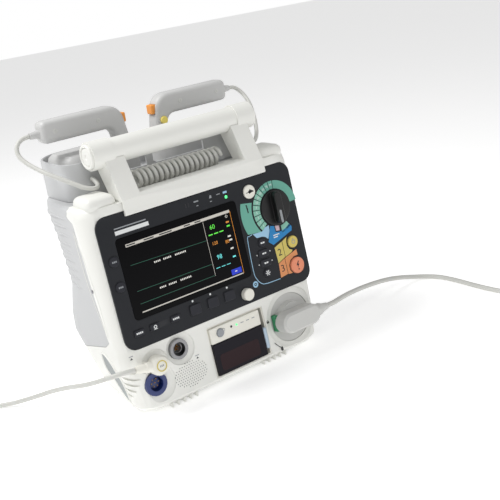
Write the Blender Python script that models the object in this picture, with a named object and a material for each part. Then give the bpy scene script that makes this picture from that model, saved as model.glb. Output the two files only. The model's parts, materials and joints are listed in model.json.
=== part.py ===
"""Portable defibrillator and monitor: casing, carry handle, controls, printer,
two paddles in their tray, and the leads that are plugged in.

World axes: +X to the right as seen from the front, the front faces -Y, +Z up.
Sizes below are in millimetres and are turned into metres when a mesh is made.
"""
import math

import bmesh
import bpy
from mathutils import Matrix, Vector

MM = 0.001
GAP = 0.3                     # clearance between touching pieces

# ---------------------------------------------------------------- driving sizes
FACE_TILT = math.radians(8.0)  # the front face leans back
FACE_FOOT_Y = -100.0           # where the face meets the bottom edge
FACE_FOOT_Z = 6.0
FACE_DROP = 168.0              # from the display's centre line down to that edge
CENTRING_Y = 3.4               # moves the whole object so that its box is centred

WALL = 3.0
FACE_WALL = 7.0                # the face is thicker, it carries the panel
CASE_TOP = 262.0
CASE_BOTTOM = 6.0
SPLIT_DEPTH = 34.0             # front casing's depth behind the face

PANEL_SIZE = (291.0, 164.0)
PANEL_Y = -2.0
PANEL_CORNER = 15.0
PANEL_THICK = 2.6
WINDOW_SIZE = (176.0, 101.0)
WINDOW_X = -37.0

TUBE_RADIUS = 15.5
TUBE_HALF = 121.5
TUBE_Y = -29.2
TUBE_Z = 316.5
ARM_OUTER = 105.0
ARM_INNER = 79.0

TRAY_HALF = 140.0
TRAY_FRONT = -10.0
TRAY_BACK = 95.0
TRAY_TOP = 308.0
TRAY_FLOOR = CASE_TOP + GAP + WALL

PADDLE_Y = 50.0
GRIP_TOP = 358.0
GRIP_BOTTOM = 330.0
GRIP_END = 139.0
GRIP_DEPTH = 24.0
GRIP_ROUND = 6.0
GRIP_EDGE = 7.0
SHOE_SIZE = (106.0, 74.0)
SHOE_X = 73.0

CURL_Y = -28.0
CURL_Z = 275.0
CURL_RADIUS = 12.0
CURL_HALF = 66.0

LEAD_DIAMETER = 6.0
THERAPY_DIAMETER = 7.0
PADDLE_LEAD_DIAMETER = 5.5

# half width at the front, front inset, front corner, half width at the back, back, back corner
CASE_SECTIONS = [
    (6.0, 136.0, 8.0, 20.0, 126.0, 36.0, 34.0),
    (13.0, 143.0, 1.0, 25.0, 134.0, 42.0, 36.0),
    (52.0, 148.0, 0.0, 26.0, 145.0, 62.0, 54.0),
    (89.0, 150.0, 0.0, 26.0, 150.0, 84.0, 57.0),
    (110.0, 152.0, 0.0, 26.0, 150.0, 85.0, 60.0),
    (156.0, 154.5, 0.0, 26.0, 149.0, 79.0, 74.0),
    (213.0, 156.0, 0.0, 26.0, 151.0, 86.0, 72.0),
    (250.0, 156.5, 0.0, 28.0, 152.0, 92.0, 64.0),
    (258.0, 154.0, 0.0, 28.0, 151.0, 91.0, 63.0),
    (262.0, 149.0, 0.0, 28.0, 149.0, 89.0, 61.0),
]

# centre on the face (to the right of the middle, above the display's centre line)
DIAL_AT = (111.0, 24.0)
SYNC_AT = (75.5, 55.0)
CHARGE_AT = (126.0, -27.0)
SHOCK_AT = (125.0, -59.5)
JOG_AT = (36.5, -71.0)
SOFT_KEYS = [(-42.5, -64.0), (-15.5, -64.0), (10.5, -64.0)]
MENU_KEYS = [(-124.5, -65.0), (-102.5, -65.0), (-72.5, -65.0)]
SIDE_KEYS = [(-133.0, 26.0), (-133.0, -5.0)]
PAD_KEYS = [(77.5, -14.0), (76.5, -28.0), (76.5, -41.0), (75.5, -54.5)]
PRINT_KEY_AT = (-17.0, -104.0)
GREY_SOCKET_AT = (-78.5, -103.0)
BLUE_SOCKET_AT = (-119.0, -133.0)
ECG_PLUG_AT = (-114.0, -109.0)
ECG_PLUG_RISE = math.radians(10.0)   # the plug's arm points up and to the left
THERAPY_AT = (98.0, -124.0)
SPEAKER_AT = (-69.5, -140.0)

BAY_X = (-34.5, 54.5)
BAY_Y = (-159.8, -93.2)
BAY_DEPTH = 37.0

# Routes of the free leads in world millimetres, from the plug or grip outwards.
ECG_ROUTE = [
    (-146.3, -95.5, 71.2), (-155, -95.3, 72.5), (-164.5, -92.6, 72.4), (-173, -86, 70.2),
    (-181.2, -75, 66), (-186.6, -61, 60.4), (-191.4, -41, 53), (-198, -5, 41),
    (-204.5, 28, 28.5), (-213, 53, 18), (-223.5, 73, 10.2), (-237, 89, 5.2),
    (-252.5, 101.5, 3.6), (-267.5, 106.8, 3.2), (-282, 104.6, 3.2), (-293.4, 95.2, 3.2),
    (-298.9, 81, 3.2), (-299.8, 64, 3.2), (-299.7, 46, 3.2)]
THERAPY_ROUTE = [
    (149, -105.8, 51.7), (162, -105.4, 51.7), (180, -100, 50.5), (206, -89, 46),
    (247, -74, 38), (289, -61, 29), (320, -53, 21.5), (349, -50, 14), (373, -52.6, 7.5),
    (390, -61.6, 4.3), (399.8, -77.4, 3.6), (403, -98, 3.6), (403, -121, 3.6),
    (402, -145, 3.6), (402, -170, 3.6), (404, -192, 3.6), (410, -211, 3.6), (420, -227, 3.6)]
LEFT_LEAD_ROUTE = [
    (-152, 53.4, 343), (-160, 53.4, 342), (-167.2, 52.4, 338.2), (-171.6, 50, 331.5),
    (-172.2, 44.6, 323.4), (-168.6, 34.5, 315.4), (-162.8, 21, 308), (-156, 6.5, 301.4),
    (-147.6, -5.4, 294.9), (-138.4, -15.6, 288.2), (-129.6, -23.6, 282.2),
    (-121.6, -27.6, 279.4), (-114.6, -26.2, 278.9), (-110.2, -20.8, 280.8),
    (-109.6, -14, 284), (-110.6, -8.2, 287)]
RIGHT_LEAD_ROUTE = [
    (152, 53.4, 343), (160, 53.2, 341.6), (166.4, 50.8, 336.8), (169.6, 44.6, 329.4),
    (168.8, 35, 321), (163.6, 22.5, 311.8), (155.6, 8.6, 303), (147, -4, 294.9),
    (138.4, -15.2, 288.2), (129.6, -23.6, 282.2), (121.6, -27.6, 279.4),
    (114.6, -26.2, 278.9), (110.2, -20.8, 280.8), (109.6, -14, 284), (110.6, -8.2, 287)]
# Centre of each stored coil, then inner radius, outer radius and height.
ECG_COIL = ((-345.0, 14.0), 24.4, 49.0, 19.0)
THERAPY_COIL = ((488.0, -238.0), 27.4, 56.0, 15.0)


# ---------------------------------------------------------------- small helpers
def clear_scene():
    for thing in list(bpy.data.objects):
        bpy.data.objects.remove(thing, do_unlink=True)


def face_point(x, up, out=0.0):
    """A point on the tilted face, in world millimetres."""
    base_y = FACE_FOOT_Y + FACE_DROP * math.sin(FACE_TILT)
    base_z = FACE_FOOT_Z + FACE_DROP * math.cos(FACE_TILT)
    y = base_y + up * math.sin(FACE_TILT) - out * math.cos(FACE_TILT)
    z = base_z + up * math.cos(FACE_TILT) + out * math.sin(FACE_TILT)
    return Vector((x, y + CENTRING_Y, z))


def face_y(z):
    return FACE_FOOT_Y + (z - FACE_FOOT_Z) * math.tan(FACE_TILT)


def make_frame(name, matrix):
    frame = bpy.data.objects.new(name, None)
    bpy.context.scene.collection.objects.link(frame)
    frame.matrix_world = matrix
    return frame


def make_frames():
    body = make_frame("body_frame", Matrix.Translation((0, CENTRING_Y * MM, 0)))
    tilt = Matrix.Rotation(math.radians(90.0) - FACE_TILT, 4, "X")
    face = make_frame("face_frame", Matrix.Translation(face_point(0, 0) * MM) @ tilt)
    return body, face


def material(name, colour, roughness, metallic=0.0):
    made = bpy.data.materials.new(name)
    made.use_nodes = True
    shader = made.node_tree.nodes["Principled BSDF"]
    shader.inputs["Base Color"].default_value = (*colour, 1.0)
    shader.inputs["Roughness"].default_value = roughness
    shader.inputs["Metallic"].default_value = metallic
    made.diffuse_color = (*colour, 1.0)
    return made


def place(name, shape, finish, parent, at=(0, 0, 0), smooth=35.0):
    """Turns a bmesh in millimetres into a named object under its frame."""
    bmesh.ops.recalc_face_normals(shape, faces=shape.faces)
    bmesh.ops.scale(shape, vec=(MM, MM, MM), verts=shape.verts)
    mesh = bpy.data.meshes.new(name)
    shape.to_mesh(mesh)
    shape.free()
    mesh.shade_smooth()
    mesh.set_sharp_from_angle(angle=math.radians(smooth))
    mesh.materials.append(finish)
    thing = bpy.data.objects.new(name, mesh)
    bpy.context.scene.collection.objects.link(thing)
    thing.parent = parent
    thing.location = Vector(at) * MM
    return thing


def combine(target, shape, operation):
    """Cuts, joins or intersects a piece with a helper shape in its own frame."""
    helper = place(target.name + "_helper", shape, target.data.materials[0], target.parent)
    helper.hide_render = True
    helper.display_type = "WIRE"
    step = target.modifiers.new(operation.lower(), "BOOLEAN")
    step.operation = operation
    step.solver = "EXACT"
    step.object = helper


def cut(target, shape):
    combine(target, shape, "DIFFERENCE")


def fuse(target, shape):
    combine(target, shape, "UNION")


def merged(*shapes):
    """Several shapes that don't touch, as one."""
    whole = bmesh.new()
    for shape in shapes:
        scrap = bpy.data.meshes.new("scrap")
        shape.to_mesh(scrap)
        shape.free()
        whole.from_mesh(scrap)
        bpy.data.meshes.remove(scrap)
    return whole


def moved(shape, matrix):
    bmesh.ops.transform(shape, matrix=matrix, verts=shape.verts)
    return shape


def shifted(shape, x, y, z=0.0):
    return moved(shape, Matrix.Translation((x, y, z)))


# Turns a shape built along +Z so that it lies along +X.
ALONG_X = Matrix(((0, 0, 1, 0), (1, 0, 0, 0), (0, 1, 0, 0), (0, 0, 0, 1)))


def loft(rings):
    """A closed solid through rings that all have the same number of points."""
    shape = bmesh.new()
    rows = [[shape.verts.new(point) for point in ring] for ring in rings]
    count = len(rows[0])
    for low, high in zip(rows, rows[1:]):
        for i in range(count):
            j = (i + 1) % count
            shape.faces.new((low[i], low[j], high[j], high[i]))
    shape.faces.new(list(reversed(rows[0])))
    shape.faces.new(rows[-1])
    return shape


def prism(outline, low, high):
    return loft([[(x, y, z) for x, y in outline] for z in (low, high)])


def arc(cx, cy, radius, start, end, steps):
    angles = [math.radians(start + (end - start) * i / steps) for i in range(steps + 1)]
    return [(cx + radius * math.cos(a), cy + radius * math.sin(a)) for a in angles]


def rounded(width, height, corner, steps=4, x=0.0, y=0.0):
    """A rounded rectangle, anticlockwise."""
    w, h = width / 2 - corner, height / 2 - corner
    outline = []
    for cx, cy, start in ((w, h, 0), (-w, h, 90), (-w, -h, 180), (w, -h, 270)):
        outline += arc(x + cx, y + cy, corner, start, start + 90, steps)
    return outline


def soft_prism(width, height, corner, low, high, edge=0.8, steps=4):
    """A rounded block whose front edge is eased."""
    ring = rounded(width, height, corner, steps)
    small = rounded(width - 2 * edge, height - 2 * edge, max(corner - edge, 0.2), steps)
    levels = [(ring, low), (ring, high - edge), (small, high)]
    return loft([[(x, y, z) for x, y in flat] for flat, z in levels])


def turned(profile, steps=20):
    """A solid of revolution about Z from an outline of (radius, height) points."""
    shape = bmesh.new()
    columns = []
    for radius, height in profile:
        if radius == 0:
            columns.append([shape.verts.new((0, 0, height))])
            continue
        ring = []
        for i in range(steps):
            a = 2 * math.pi * i / steps
            ring.append(shape.verts.new((radius * math.cos(a), radius * math.sin(a), height)))
        columns.append(ring)
    for a, b in zip(columns, columns[1:] + columns[:1]):
        if len(a) == 1 and len(b) == 1:
            continue
        for i in range(steps):
            j = (i + 1) % steps
            corners = []
            for vert in (a[i % len(a)], a[j % len(a)], b[j % len(b)], b[i % len(b)]):
                if vert not in corners:
                    corners.append(vert)
            shape.faces.new(corners)
    return shape


def rod(radius, low, high, steps=20):
    return turned([(0, low), (radius, low), (radius, high), (0, high)], steps)


def block(x, y, z, edge=0.0, steps=2):
    """A box between three pairs of limits, with eased edges."""
    shape = bmesh.new()
    bmesh.ops.create_cube(shape, size=1.0)
    spans = [high - low for low, high in (x, y, z)]
    middle = [(low + high) / 2 for low, high in (x, y, z)]
    bmesh.ops.scale(shape, vec=spans, verts=shape.verts)
    bmesh.ops.translate(shape, vec=middle, verts=shape.verts)
    if edge:
        bmesh.ops.bevel(shape, geom=shape.edges[:], offset=edge, segments=steps,
                        profile=0.5, affect="EDGES")
    return shape


def mirrored_x(shape):
    bmesh.ops.scale(shape, vec=(-1, 1, 1), verts=shape.verts)
    bmesh.ops.reverse_faces(shape, faces=shape.faces)
    return shape


def smooth_path(route, spacing):
    """Points at even spacing on a smooth curve through the route."""
    points = [Vector(p) for p in route]
    padded = [points[0] * 2 - points[1]] + points + [points[-1] * 2 - points[-2]]
    fine = []
    for a, b, c, d in zip(padded, padded[1:], padded[2:], padded[3:]):
        for i in range(20):
            t = i / 20
            fine.append(0.5 * (2 * b + (c - a) * t + (2 * a - 5 * b + 4 * c - d) * t ** 2
                               + (3 * b - a - 3 * c + d) * t ** 3))
    fine.append(points[-1])
    length = sum((q - p).length for p, q in zip(fine, fine[1:]))
    count = max(2, round(length / spacing))
    result, run, goal = [fine[0]], 0.0, 1
    for p, q in zip(fine, fine[1:]):
        step = (q - p).length
        while goal < count and run + step >= length * goal / count:
            result.append(p.lerp(q, (length * goal / count - run) / step))
            goal += 1
        run += step
    result.append(fine[-1])
    return result


def tube(name, route, diameter, finish, spacing=2.5):
    """A plain round lead along a route in world millimetres."""
    path = smooth_path(route, diameter * spacing)
    curve = bpy.data.curves.new(name, "CURVE")
    curve.dimensions = "3D"
    curve.bevel_depth = diameter / 2 * MM
    curve.bevel_resolution = 2
    curve.use_fill_caps = True
    spline = curve.splines.new("POLY")
    spline.points.add(len(path) - 1)
    for point, where in zip(spline.points, path):
        point.co = (*(where * MM), 1.0)
    curve.materials.append(finish)
    thing = bpy.data.objects.new(name, curve)
    bpy.context.scene.collection.objects.link(thing)
    return thing


# ---------------------------------------------------------------- materials
def make_materials():
    return {
        "white": material("casing_white", (0.79, 0.79, 0.76), 0.45),
        "grey": material("rear_grey", (0.48, 0.48, 0.49), 0.55),
        "paddle": material("paddle_grey", (0.55, 0.55, 0.55), 0.5),
        "panel": material("panel_black", (0.018, 0.02, 0.025), 0.4),
        "glass": material("window_glass", (0.01, 0.01, 0.012), 0.08),
        "key": material("key_grey", (0.06, 0.065, 0.075), 0.5),
        "knob": material("knob_black", (0.008, 0.008, 0.009), 0.3),
        "cream": material("cream_plastic", (0.79, 0.77, 0.70), 0.45),
        "orange": material("shock_orange", (0.75, 0.26, 0.14), 0.4),
        "yellow": material("charge_yellow", (0.62, 0.45, 0.10), 0.4),
        "green": material("release_green", (0.02, 0.22, 0.08), 0.4),
        "navy": material("socket_navy", (0.012, 0.025, 0.12), 0.35),
        "smoke": material("printer_smoke", (0.03, 0.025, 0.03), 0.12),
        "steel": material("steel", (0.6, 0.6, 0.6), 0.3, 1.0),
        "board": material("circuit_green", (0.02, 0.16, 0.07), 0.5),
        "paper": material("paper", (0.85, 0.84, 0.8), 0.9),
        "rubber": material("rubber_dark", (0.03, 0.03, 0.03), 0.8),
        "lead": material("lead_grey", (0.68, 0.68, 0.67), 0.5),
        "cell": material("battery_blue", (0.03, 0.05, 0.12), 0.5),
    }


# ---------------------------------------------------------------- casing
def case_ring(section, inset=0.0, front_inset=0.0, steps=6):
    z, front_w, front_in, front_r, back_w, back, back_r = section
    front = face_y(z) + front_in + front_inset
    fw, bw, by = front_w - inset, back_w - inset, back - inset
    fr, br = max(front_r - inset, 4.0), back_r - inset
    outline = arc(-fw + fr, front + fr, fr, 180, 270, steps)
    outline += arc(fw - fr, front + fr, fr, 270, 360, steps)
    outline += arc(bw - br, by - br, br, 0, 90, steps)
    outline += arc(-bw + br, by - br, br, 90, 180, steps)
    return [(x, y, z) for x, y in outline]


def case_solid():
    shape = loft([case_ring(section) for section in CASE_SECTIONS])
    bmesh.ops.triangulate(shape, faces=shape.faces)
    return shape


def case_cavity():
    inner = [list(section) for section in CASE_SECTIONS[1:-1]]
    inner[0][0] = CASE_BOTTOM + WALL
    inner[-1][0] = CASE_TOP - WALL
    shape = loft([case_ring(section, WALL, FACE_WALL, 4) for section in inner])
    bmesh.ops.triangulate(shape, faces=shape.faces)
    return shape


def front_region(offset=0.0):
    """Everything in front of, and below, the joint line between the two casings."""
    line = [(150, -20), (150, 62), (40, 66), (0, 76), (-40, 86),
            (face_y(95) + SPLIT_DEPTH, 95), (face_y(245) + SPLIT_DEPTH, 245),
            (-16.5, 252), (-16.5, 300)]
    outline = [(-150, -20)]
    for y, z in line:
        drop = 2 * offset if z > FACE_DROP else -offset
        outline.append((y + offset, z - drop))
    outline.append((-150, 300))
    return moved(prism(outline, -200, 200), ALONG_X)


def shoulder(side):
    shape = block((ARM_OUTER + 1.5, 147.0), (-61.0, -17.9), (254.7, 274.0), 9.0, 3)
    return shape if side > 0 else mirrored_x(shape)


def face_tool(shape):
    """Brings a cutter built on the face into the body's frame."""
    tilt = Matrix.Rotation(math.radians(90.0) - FACE_TILT, 4, "X")
    lift = Matrix.Translation(face_point(0, 0) - Vector((0, CENTRING_Y, 0)))
    return moved(shape, lift @ tilt)


def make_casings(body, finish):
    front = place("front_casing", case_solid(), finish["white"], body)
    cut(front, case_cavity())
    combine(front, front_region(), "INTERSECT")
    fuse(front, merged(shoulder(-1), shoulder(1)))
    panel_w, panel_h = PANEL_SIZE
    slack = 2 * GAP
    recess = prism(rounded(panel_w + slack, panel_h + slack, PANEL_CORNER + GAP, 5, 0, PANEL_Y),
                   -PANEL_THICK - GAP, 12)
    cut(front, face_tool(recess))
    opening = prism(rounded(panel_w - 9, panel_h - 14, 12, 3, 0, PANEL_Y), -9, 2)
    cut(front, face_tool(opening))
    bay = block(BAY_X, BAY_Y, (-30.0, 12.0))
    cut(front, face_tool(bay))
    holes = merged(
        shifted(rod(13.3, -20, 12), *GREY_SOCKET_AT),
        shifted(rod(15.3, -20, 12), *BLUE_SOCKET_AT),
        shifted(rod(33.0, -20, 12, 40), *THERAPY_AT))
    cut(front, face_tool(holes))

    rear = place("rear_casing", case_solid(), finish["grey"], body)
    cut(rear, case_cavity())
    cut(rear, front_region(GAP))


def make_base(body, finish):
    plate = prism(rounded(210, 108, 12, 3, 0, -26), 3.2, CASE_BOTTOM - GAP)
    base = place("base_foot", plate, finish["rubber"], body)
    for side in (-1, 1):
        fuse(base, block((side * 75 - 19, side * 75 + 19), (-80, 28), (0, 4.2), 1.5, 1))


# ---------------------------------------------------------------- handle
def make_handle(body, finish):
    bar = [(-67.0, 245.7), (-67.0, 262.4), (-46.0, 262.4), (-46.0, 266.0), (-48.5, 267.8),
           (-66.2, 267.8), (-68.6, 264.5), (-71.2, 247.5), (-70.2, 245.9)]
    arm = [(-67.5, 262.4), (-42.0, 262.4), (-19.0, 300.0), (-14.8, 312.0), (-29.2, 316.5),
           (-44.6, 310.0), (-64.2, 271.6), (-68.8, 264.0)]
    frame = place("handle_frame", moved(prism(bar[::-1], -ARM_OUTER, ARM_OUTER), ALONG_X),
                  finish["white"], body)
    axis = Matrix.Translation((0, TUBE_Y, TUBE_Z)) @ ALONG_X
    for side in (-1, 1):
        low, high = sorted((side * ARM_INNER, side * ARM_OUTER))
        fuse(frame, moved(prism(arm, low, high), ALONG_X))
        low, high = sorted((side * 91.0, side * (TUBE_HALF - 3.0)))
        fuse(frame, moved(rod(TUBE_RADIUS + 2.0, low, high, 28), axis))
    cut(frame, moved(rod(TUBE_RADIUS + GAP, -TUBE_HALF - 9, TUBE_HALF + 9, 28), axis))

    end, dish = TUBE_HALF, TUBE_HALF - 2.0
    profile = [(0, -dish), (11.5, -dish), (12.0, -end), (14.5, -end), (TUBE_RADIUS, -end + 1),
               (TUBE_RADIUS, end - 1), (14.5, end), (12.0, end), (11.5, dish), (0, dish)]
    place("handle_tube", moved(turned(profile, 28), axis), finish["white"], body)


# ---------------------------------------------------------------- paddle tray
def tray_ring(inset, z, steps=5):
    front_r, back_r = 20.0 - inset, 44.0 - inset
    half, front, back = TRAY_HALF - inset, TRAY_FRONT + inset, TRAY_BACK - inset
    outline = arc(-half + front_r, front + front_r, front_r, 180, 270, steps)
    outline += arc(half - front_r, front + front_r, front_r, 270, 360, steps)
    outline += arc(half - back_r, back - back_r, back_r, 0, 90, steps)
    outline += arc(-half + back_r, back - back_r, back_r, 90, 180, steps)
    return [(x, y, z) for x, y in outline]


def make_tray(body, finish):
    low = CASE_TOP + GAP
    tray = place("paddle_tray", loft([tray_ring(0, low), tray_ring(0, TRAY_TOP)]),
                 finish["grey"], body)
    cut(tray, loft([tray_ring(WALL, TRAY_FLOOR), tray_ring(WALL, TRAY_TOP + 9)]))
    windows = merged(block((-72, -31), (-20, 5), (284, 299)),
                     block((-21, 56), (-20, 5), (284, 299)),
                     block((-84, 84), (-20, 5), (303.5, 330)))
    cut(tray, windows)


# ---------------------------------------------------------------- front panel
def make_panel(face, finish):
    panel_w, panel_h = PANEL_SIZE
    plate = prism(rounded(panel_w, panel_h, PANEL_CORNER, 5, 0, PANEL_Y), -PANEL_THICK, 0)
    panel = place("control_panel", plate, finish["panel"], face)
    window_w, window_h = WINDOW_SIZE
    slots = [prism(rounded(window_w + 0.6, window_h + 0.6, 5.3, 3, WINDOW_X, 0), -9, 9),
             shifted(rod(24.0, -9, 9, 36), *DIAL_AT),
             shifted(rod(9.3, -9, 9), *SYNC_AT),
             shifted(rod(8.3, -9, 9), *CHARGE_AT),
             shifted(rod(11.3, -9, 9), *SHOCK_AT),
             shifted(rod(8.4, -9, 9), *JOG_AT)]
    for at in SOFT_KEYS:
        slots.append(prism(rounded(16.6, 13.6, 2.3, 2, *at), -9, 9))
    for at in MENU_KEYS:
        slots.append(prism(rounded(14.6, 8.6, 2.3, 2, *at), -9, 9))
    for at in SIDE_KEYS:
        slots.append(shifted(rod(6.8, -9, 9, 20), *at))
    for row, at in enumerate(PAD_KEYS):
        if row in (1, 2):
            slots.append(prism(rounded(17.6, 10.6, 3.3, 3, *at), -9, 9))
        else:
            slots.append(shifted(rod(6.1, -9, 9, 20), *at))
    cut(panel, merged(*slots))

    glass = prism(rounded(window_w, window_h, 5, 3, WINDOW_X, 0), -1.9, 0.3)
    place("display_window", glass, finish["glass"], face)
    place("lcd_module", block((-120, 45), (-47, 47), (-12, -2.4), 1, 1), finish["steel"], face)
    place("main_board", block((-122, 122), (-70, 64), (-20, -18.4)), finish["board"], face)


def make_dial(face, finish):
    rotor = [(0, -14), (5, -14), (5, -2.5), (23.6, -2.5), (23.6, 1.2), (22.8, 2), (0, 2)]
    dial = place("energy_dial", turned(rotor, 36), finish["knob"], face, (*DIAL_AT, 0))
    grip = soft_prism(11, 43, 5, 1, 12, 1.2, 3)
    helper = shifted(grip, *DIAL_AT)
    fuse(dial, helper)

    crown = [(0, -6), (2.5, -6), (2.5, -2.4), (8, -2.4), (8, 6), (7, 7), (0, 7)]
    place("jog_knob", turned(crown), finish["cream"], face, (*JOG_AT, 0))


def make_round_key(name, radius, rise, finish, face, at, steps=20):
    profile = [(0, -5), (radius, -5), (radius, rise - 0.8), (radius - 0.8, rise), (0, rise)]
    place(name, turned(profile, steps), finish, face, (*at, 0))


def make_keys(face, finish):
    make_round_key("sync_key", 9.0, 2.2, finish["cream"], face, SYNC_AT)
    make_round_key("charge_key", 8.0, 2.6, finish["yellow"], face, CHARGE_AT)
    make_round_key("shock_key", 11.0, 3.2, finish["orange"], face, SHOCK_AT)
    for number, at in enumerate(SOFT_KEYS, 1):
        shape = soft_prism(16, 13, 2, -5, 2.2, 0.8, 2)
        place(f"soft_key_{number}", shape, finish["key"], face, (*at, 0))
    for number, at in enumerate(MENU_KEYS, 1):
        shape = soft_prism(14, 8, 2, -5, 1.6, 0.6, 2)
        place(f"menu_key_{number}", shape, finish["key"], face, (*at, 0))
    for number, at in enumerate(SIDE_KEYS, 1):
        make_round_key(f"side_key_{number}", 6.5, 1.6, finish["key"], face, at, 20)
    for number, at in enumerate(PAD_KEYS, 1):
        if number in (2, 3):
            shape = soft_prism(17, 10, 3, -5, 1.8, 0.7, 3)
            place(f"pad_key_{number}", shape, finish["key"], face, (*at, 0))
        else:
            make_round_key(f"pad_key_{number}", 5.8, 1.8, finish["key"], face, at, 20)


# ---------------------------------------------------------------- connectors
def make_sockets(face, finish):
    grey = [(0, -20), (11, -20), (11, -6), (13, -6), (13, 1.5), (8.5, 1.5), (8.5, -12), (0, -12)]
    place("grey_socket", turned(grey), finish["steel"], face, (*GREY_SOCKET_AT, 0))
    blue = [(0, -22), (12, -22), (12, -6), (15, -6), (15, 0), (9, 0), (9, -10), (0, -10)]
    place("blue_socket", turned(blue), finish["navy"], face, (*BLUE_SOCKET_AT, 0))

    dish = [(0, -26), (20, -26), (20, -9), (32.7, -9), (32.7, -4.5), (22, -4.5), (21, 5), (0, 5)]
    socket = place("therapy_socket", turned(dish, 40), finish["paddle"], face, (*THERAPY_AT, 0))
    x, y = THERAPY_AT
    cut(socket, block((x - 29.8, x - 22.0), (y - 11.3, y + 11.3), (-8, 2)))
    place("therapy_release", block((-29.5, -22.4), (-11, 11), (-5.4, 3.5), 1, 1),
          finish["green"], face, (x, y, 0))


def make_plugs(face, finish):
    head = [(0, 0.5), (12, 0.5), (12.6, 4), (12.6, 11), (10.5, 15), (0, 15.5)]
    ecg = place("ecg_plug", turned(head), finish["cream"], face, (*ECG_PLUG_AT, 0))
    arm = [(0, 0), (7, 0), (6.4, 18), (5.4, 19), (5.2, 27), (4.0, 32), (0, 32)]
    lie = (Matrix.Translation((*ECG_PLUG_AT, 8)) @ Matrix.Rotation(-ECG_PLUG_RISE, 4, "Z")
           @ Matrix.Rotation(math.radians(-90), 4, "Y"))
    fuse(ecg, moved(turned(arm, 16), lie))

    x, y = THERAPY_AT
    body = soft_prism(64, 27, 13.5, 5.4, 26, 3, 6)
    plug = place("therapy_plug", body, finish["paddle"], face, (x, y, 0))
    boot = [(0, 0), (9, 0), (8.5, 36), (6.0, 42), (4.6, 50), (0, 50)]
    lie = Matrix.Translation((x, y, 15.5)) @ Matrix.Rotation(math.radians(90), 4, "Y")
    fuse(plug, moved(turned(boot, 16), lie))


# ---------------------------------------------------------------- printer
def make_printer(face, finish):
    left, right = BAY_X[0] + GAP, BAY_X[1] - GAP
    low, high = BAY_Y[0] + GAP, BAY_Y[1] - GAP
    shell = 1.5
    housing = place("printer_housing", block((left, right), (low, high), (-BAY_DEPTH, -0.6)),
                    finish["cream"], face)
    cut(housing, block((left + shell, right - shell), (low + shell, high - shell),
                       (-BAY_DEPTH + shell, 9)))
    inner_left, inner_right = left + shell + GAP, 46.6
    fascia = place("printer_fascia",
                   block((inner_left, inner_right), (-115.6, high - shell - GAP), (-4, 2.5), 0.8, 1),
                   finish["cream"], face)
    cut(fascia, shifted(rod(5.8, -9, 9, 20), *PRINT_KEY_AT))
    profile = [(0, -5), (5.5, -5), (5.5, 3.4), (4.8, 4.2), (0, 4.2)]
    place("print_key", turned(profile, 20), finish["key"], face, (*PRINT_KEY_AT, 0))

    hinge_y, hinge_z = -157.2, 0.8
    door = block((inner_left, inner_right), (-157.6 - hinge_y, -116.2 - hinge_y),
                 (-3 - hinge_z, 3 - hinge_z), 0.6, 1)
    place("printer_door", door, finish["smoke"], face, (0, hinge_y, hinge_z))
    place("printer_latch", block((47.2, 52.3), (-150, -122), (-3, 3), 0.8, 1),
          finish["lead"], face)
    middle = (inner_left + inner_right) / 2
    core = [(5, -35), (13.5, -35), (13.5, 35), (5, 35)]
    place("paper_roll", moved(turned(core, 28), ALONG_X), finish["paper"], face,
          (middle, -143, -20))
    roller = [(0, -38), (2, -38), (2, -35), (4, -35), (4, 35), (2, 35), (2, 38), (0, 38)]
    place("platen_roller", moved(turned(roller, 16), ALONG_X), finish["rubber"], face,
          (middle, -121.5, -9))


# ---------------------------------------------------------------- inside
def make_inside(body, face, finish):
    cone = [(0, -24), (9, -24), (9, -16), (18, -12), (18, -9.6), (16, -9.6), (8, -15), (0, -15)]
    place("speaker", turned(cone), finish["rubber"], face, (*SPEAKER_AT, 0))
    place("power_board", block((-115, 115), (6, 7.6), (92, 236)), finish["board"], body)
    place("battery_pack", block((-108, 12), (14, 60), (94, 150), 3, 1), finish["cell"], body)
    can = [(0, -45), (20, -45), (21, -43), (21, 43), (20, 45), (0, 45)]
    place("hv_capacitor", moved(turned(can), ALONG_X), finish["steel"], body, (40, 36, 200))


# ---------------------------------------------------------------- paddles
def paddle_outline(inset=0.0):
    """Side view of grip and neck, right-hand paddle, as (x, z), drawn in by an inset."""
    outline = [(38.0 - inset, 300.0)]
    outline += arc(52, 318, 12 + inset, 180, 90, 4)
    outline += arc(GRIP_END - GRIP_EDGE, GRIP_BOTTOM + GRIP_EDGE, GRIP_EDGE - inset, 270, 360, 3)
    outline += arc(GRIP_END - GRIP_EDGE, GRIP_TOP - GRIP_EDGE, GRIP_EDGE - inset, 0, 90, 3)
    outline += arc(45, 337, 21 - inset, 90, 172, 6)
    outline.append((17.5 + inset, 300.0))
    return outline


def paddle_grip():
    """The grip's long edges are strongly rounded, so it is lofted through its depth."""
    rings = []
    for angle in (0, 30, 60, 90, 90, 60, 30, 0):
        inset = GRIP_ROUND * (1 - math.sin(math.radians(angle)))
        depth = GRIP_DEPTH / 2 - GRIP_ROUND * (1 - math.cos(math.radians(angle)))
        if len(rings) < 4:
            depth = -depth
        rings.append([(x, PADDLE_Y + depth, z) for x, z in paddle_outline(inset)])
    return loft(rings)


def paddle_shoe():
    rings = []
    for z, shrink in ((TRAY_FLOOR + 4.3, 0), (298, 0), (306, 5), (311, 16)):
        corner = 18.0 - shrink / 2
        flat = rounded(SHOE_SIZE[0] - shrink, SHOE_SIZE[1] - shrink, corner, 4, SHOE_X, PADDLE_Y)
        rings.append([(x, y, z) for x, y in flat])
    return loft(rings)


def hand(shape, side):
    return shape if side > 0 else mirrored_x(shape)


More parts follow.
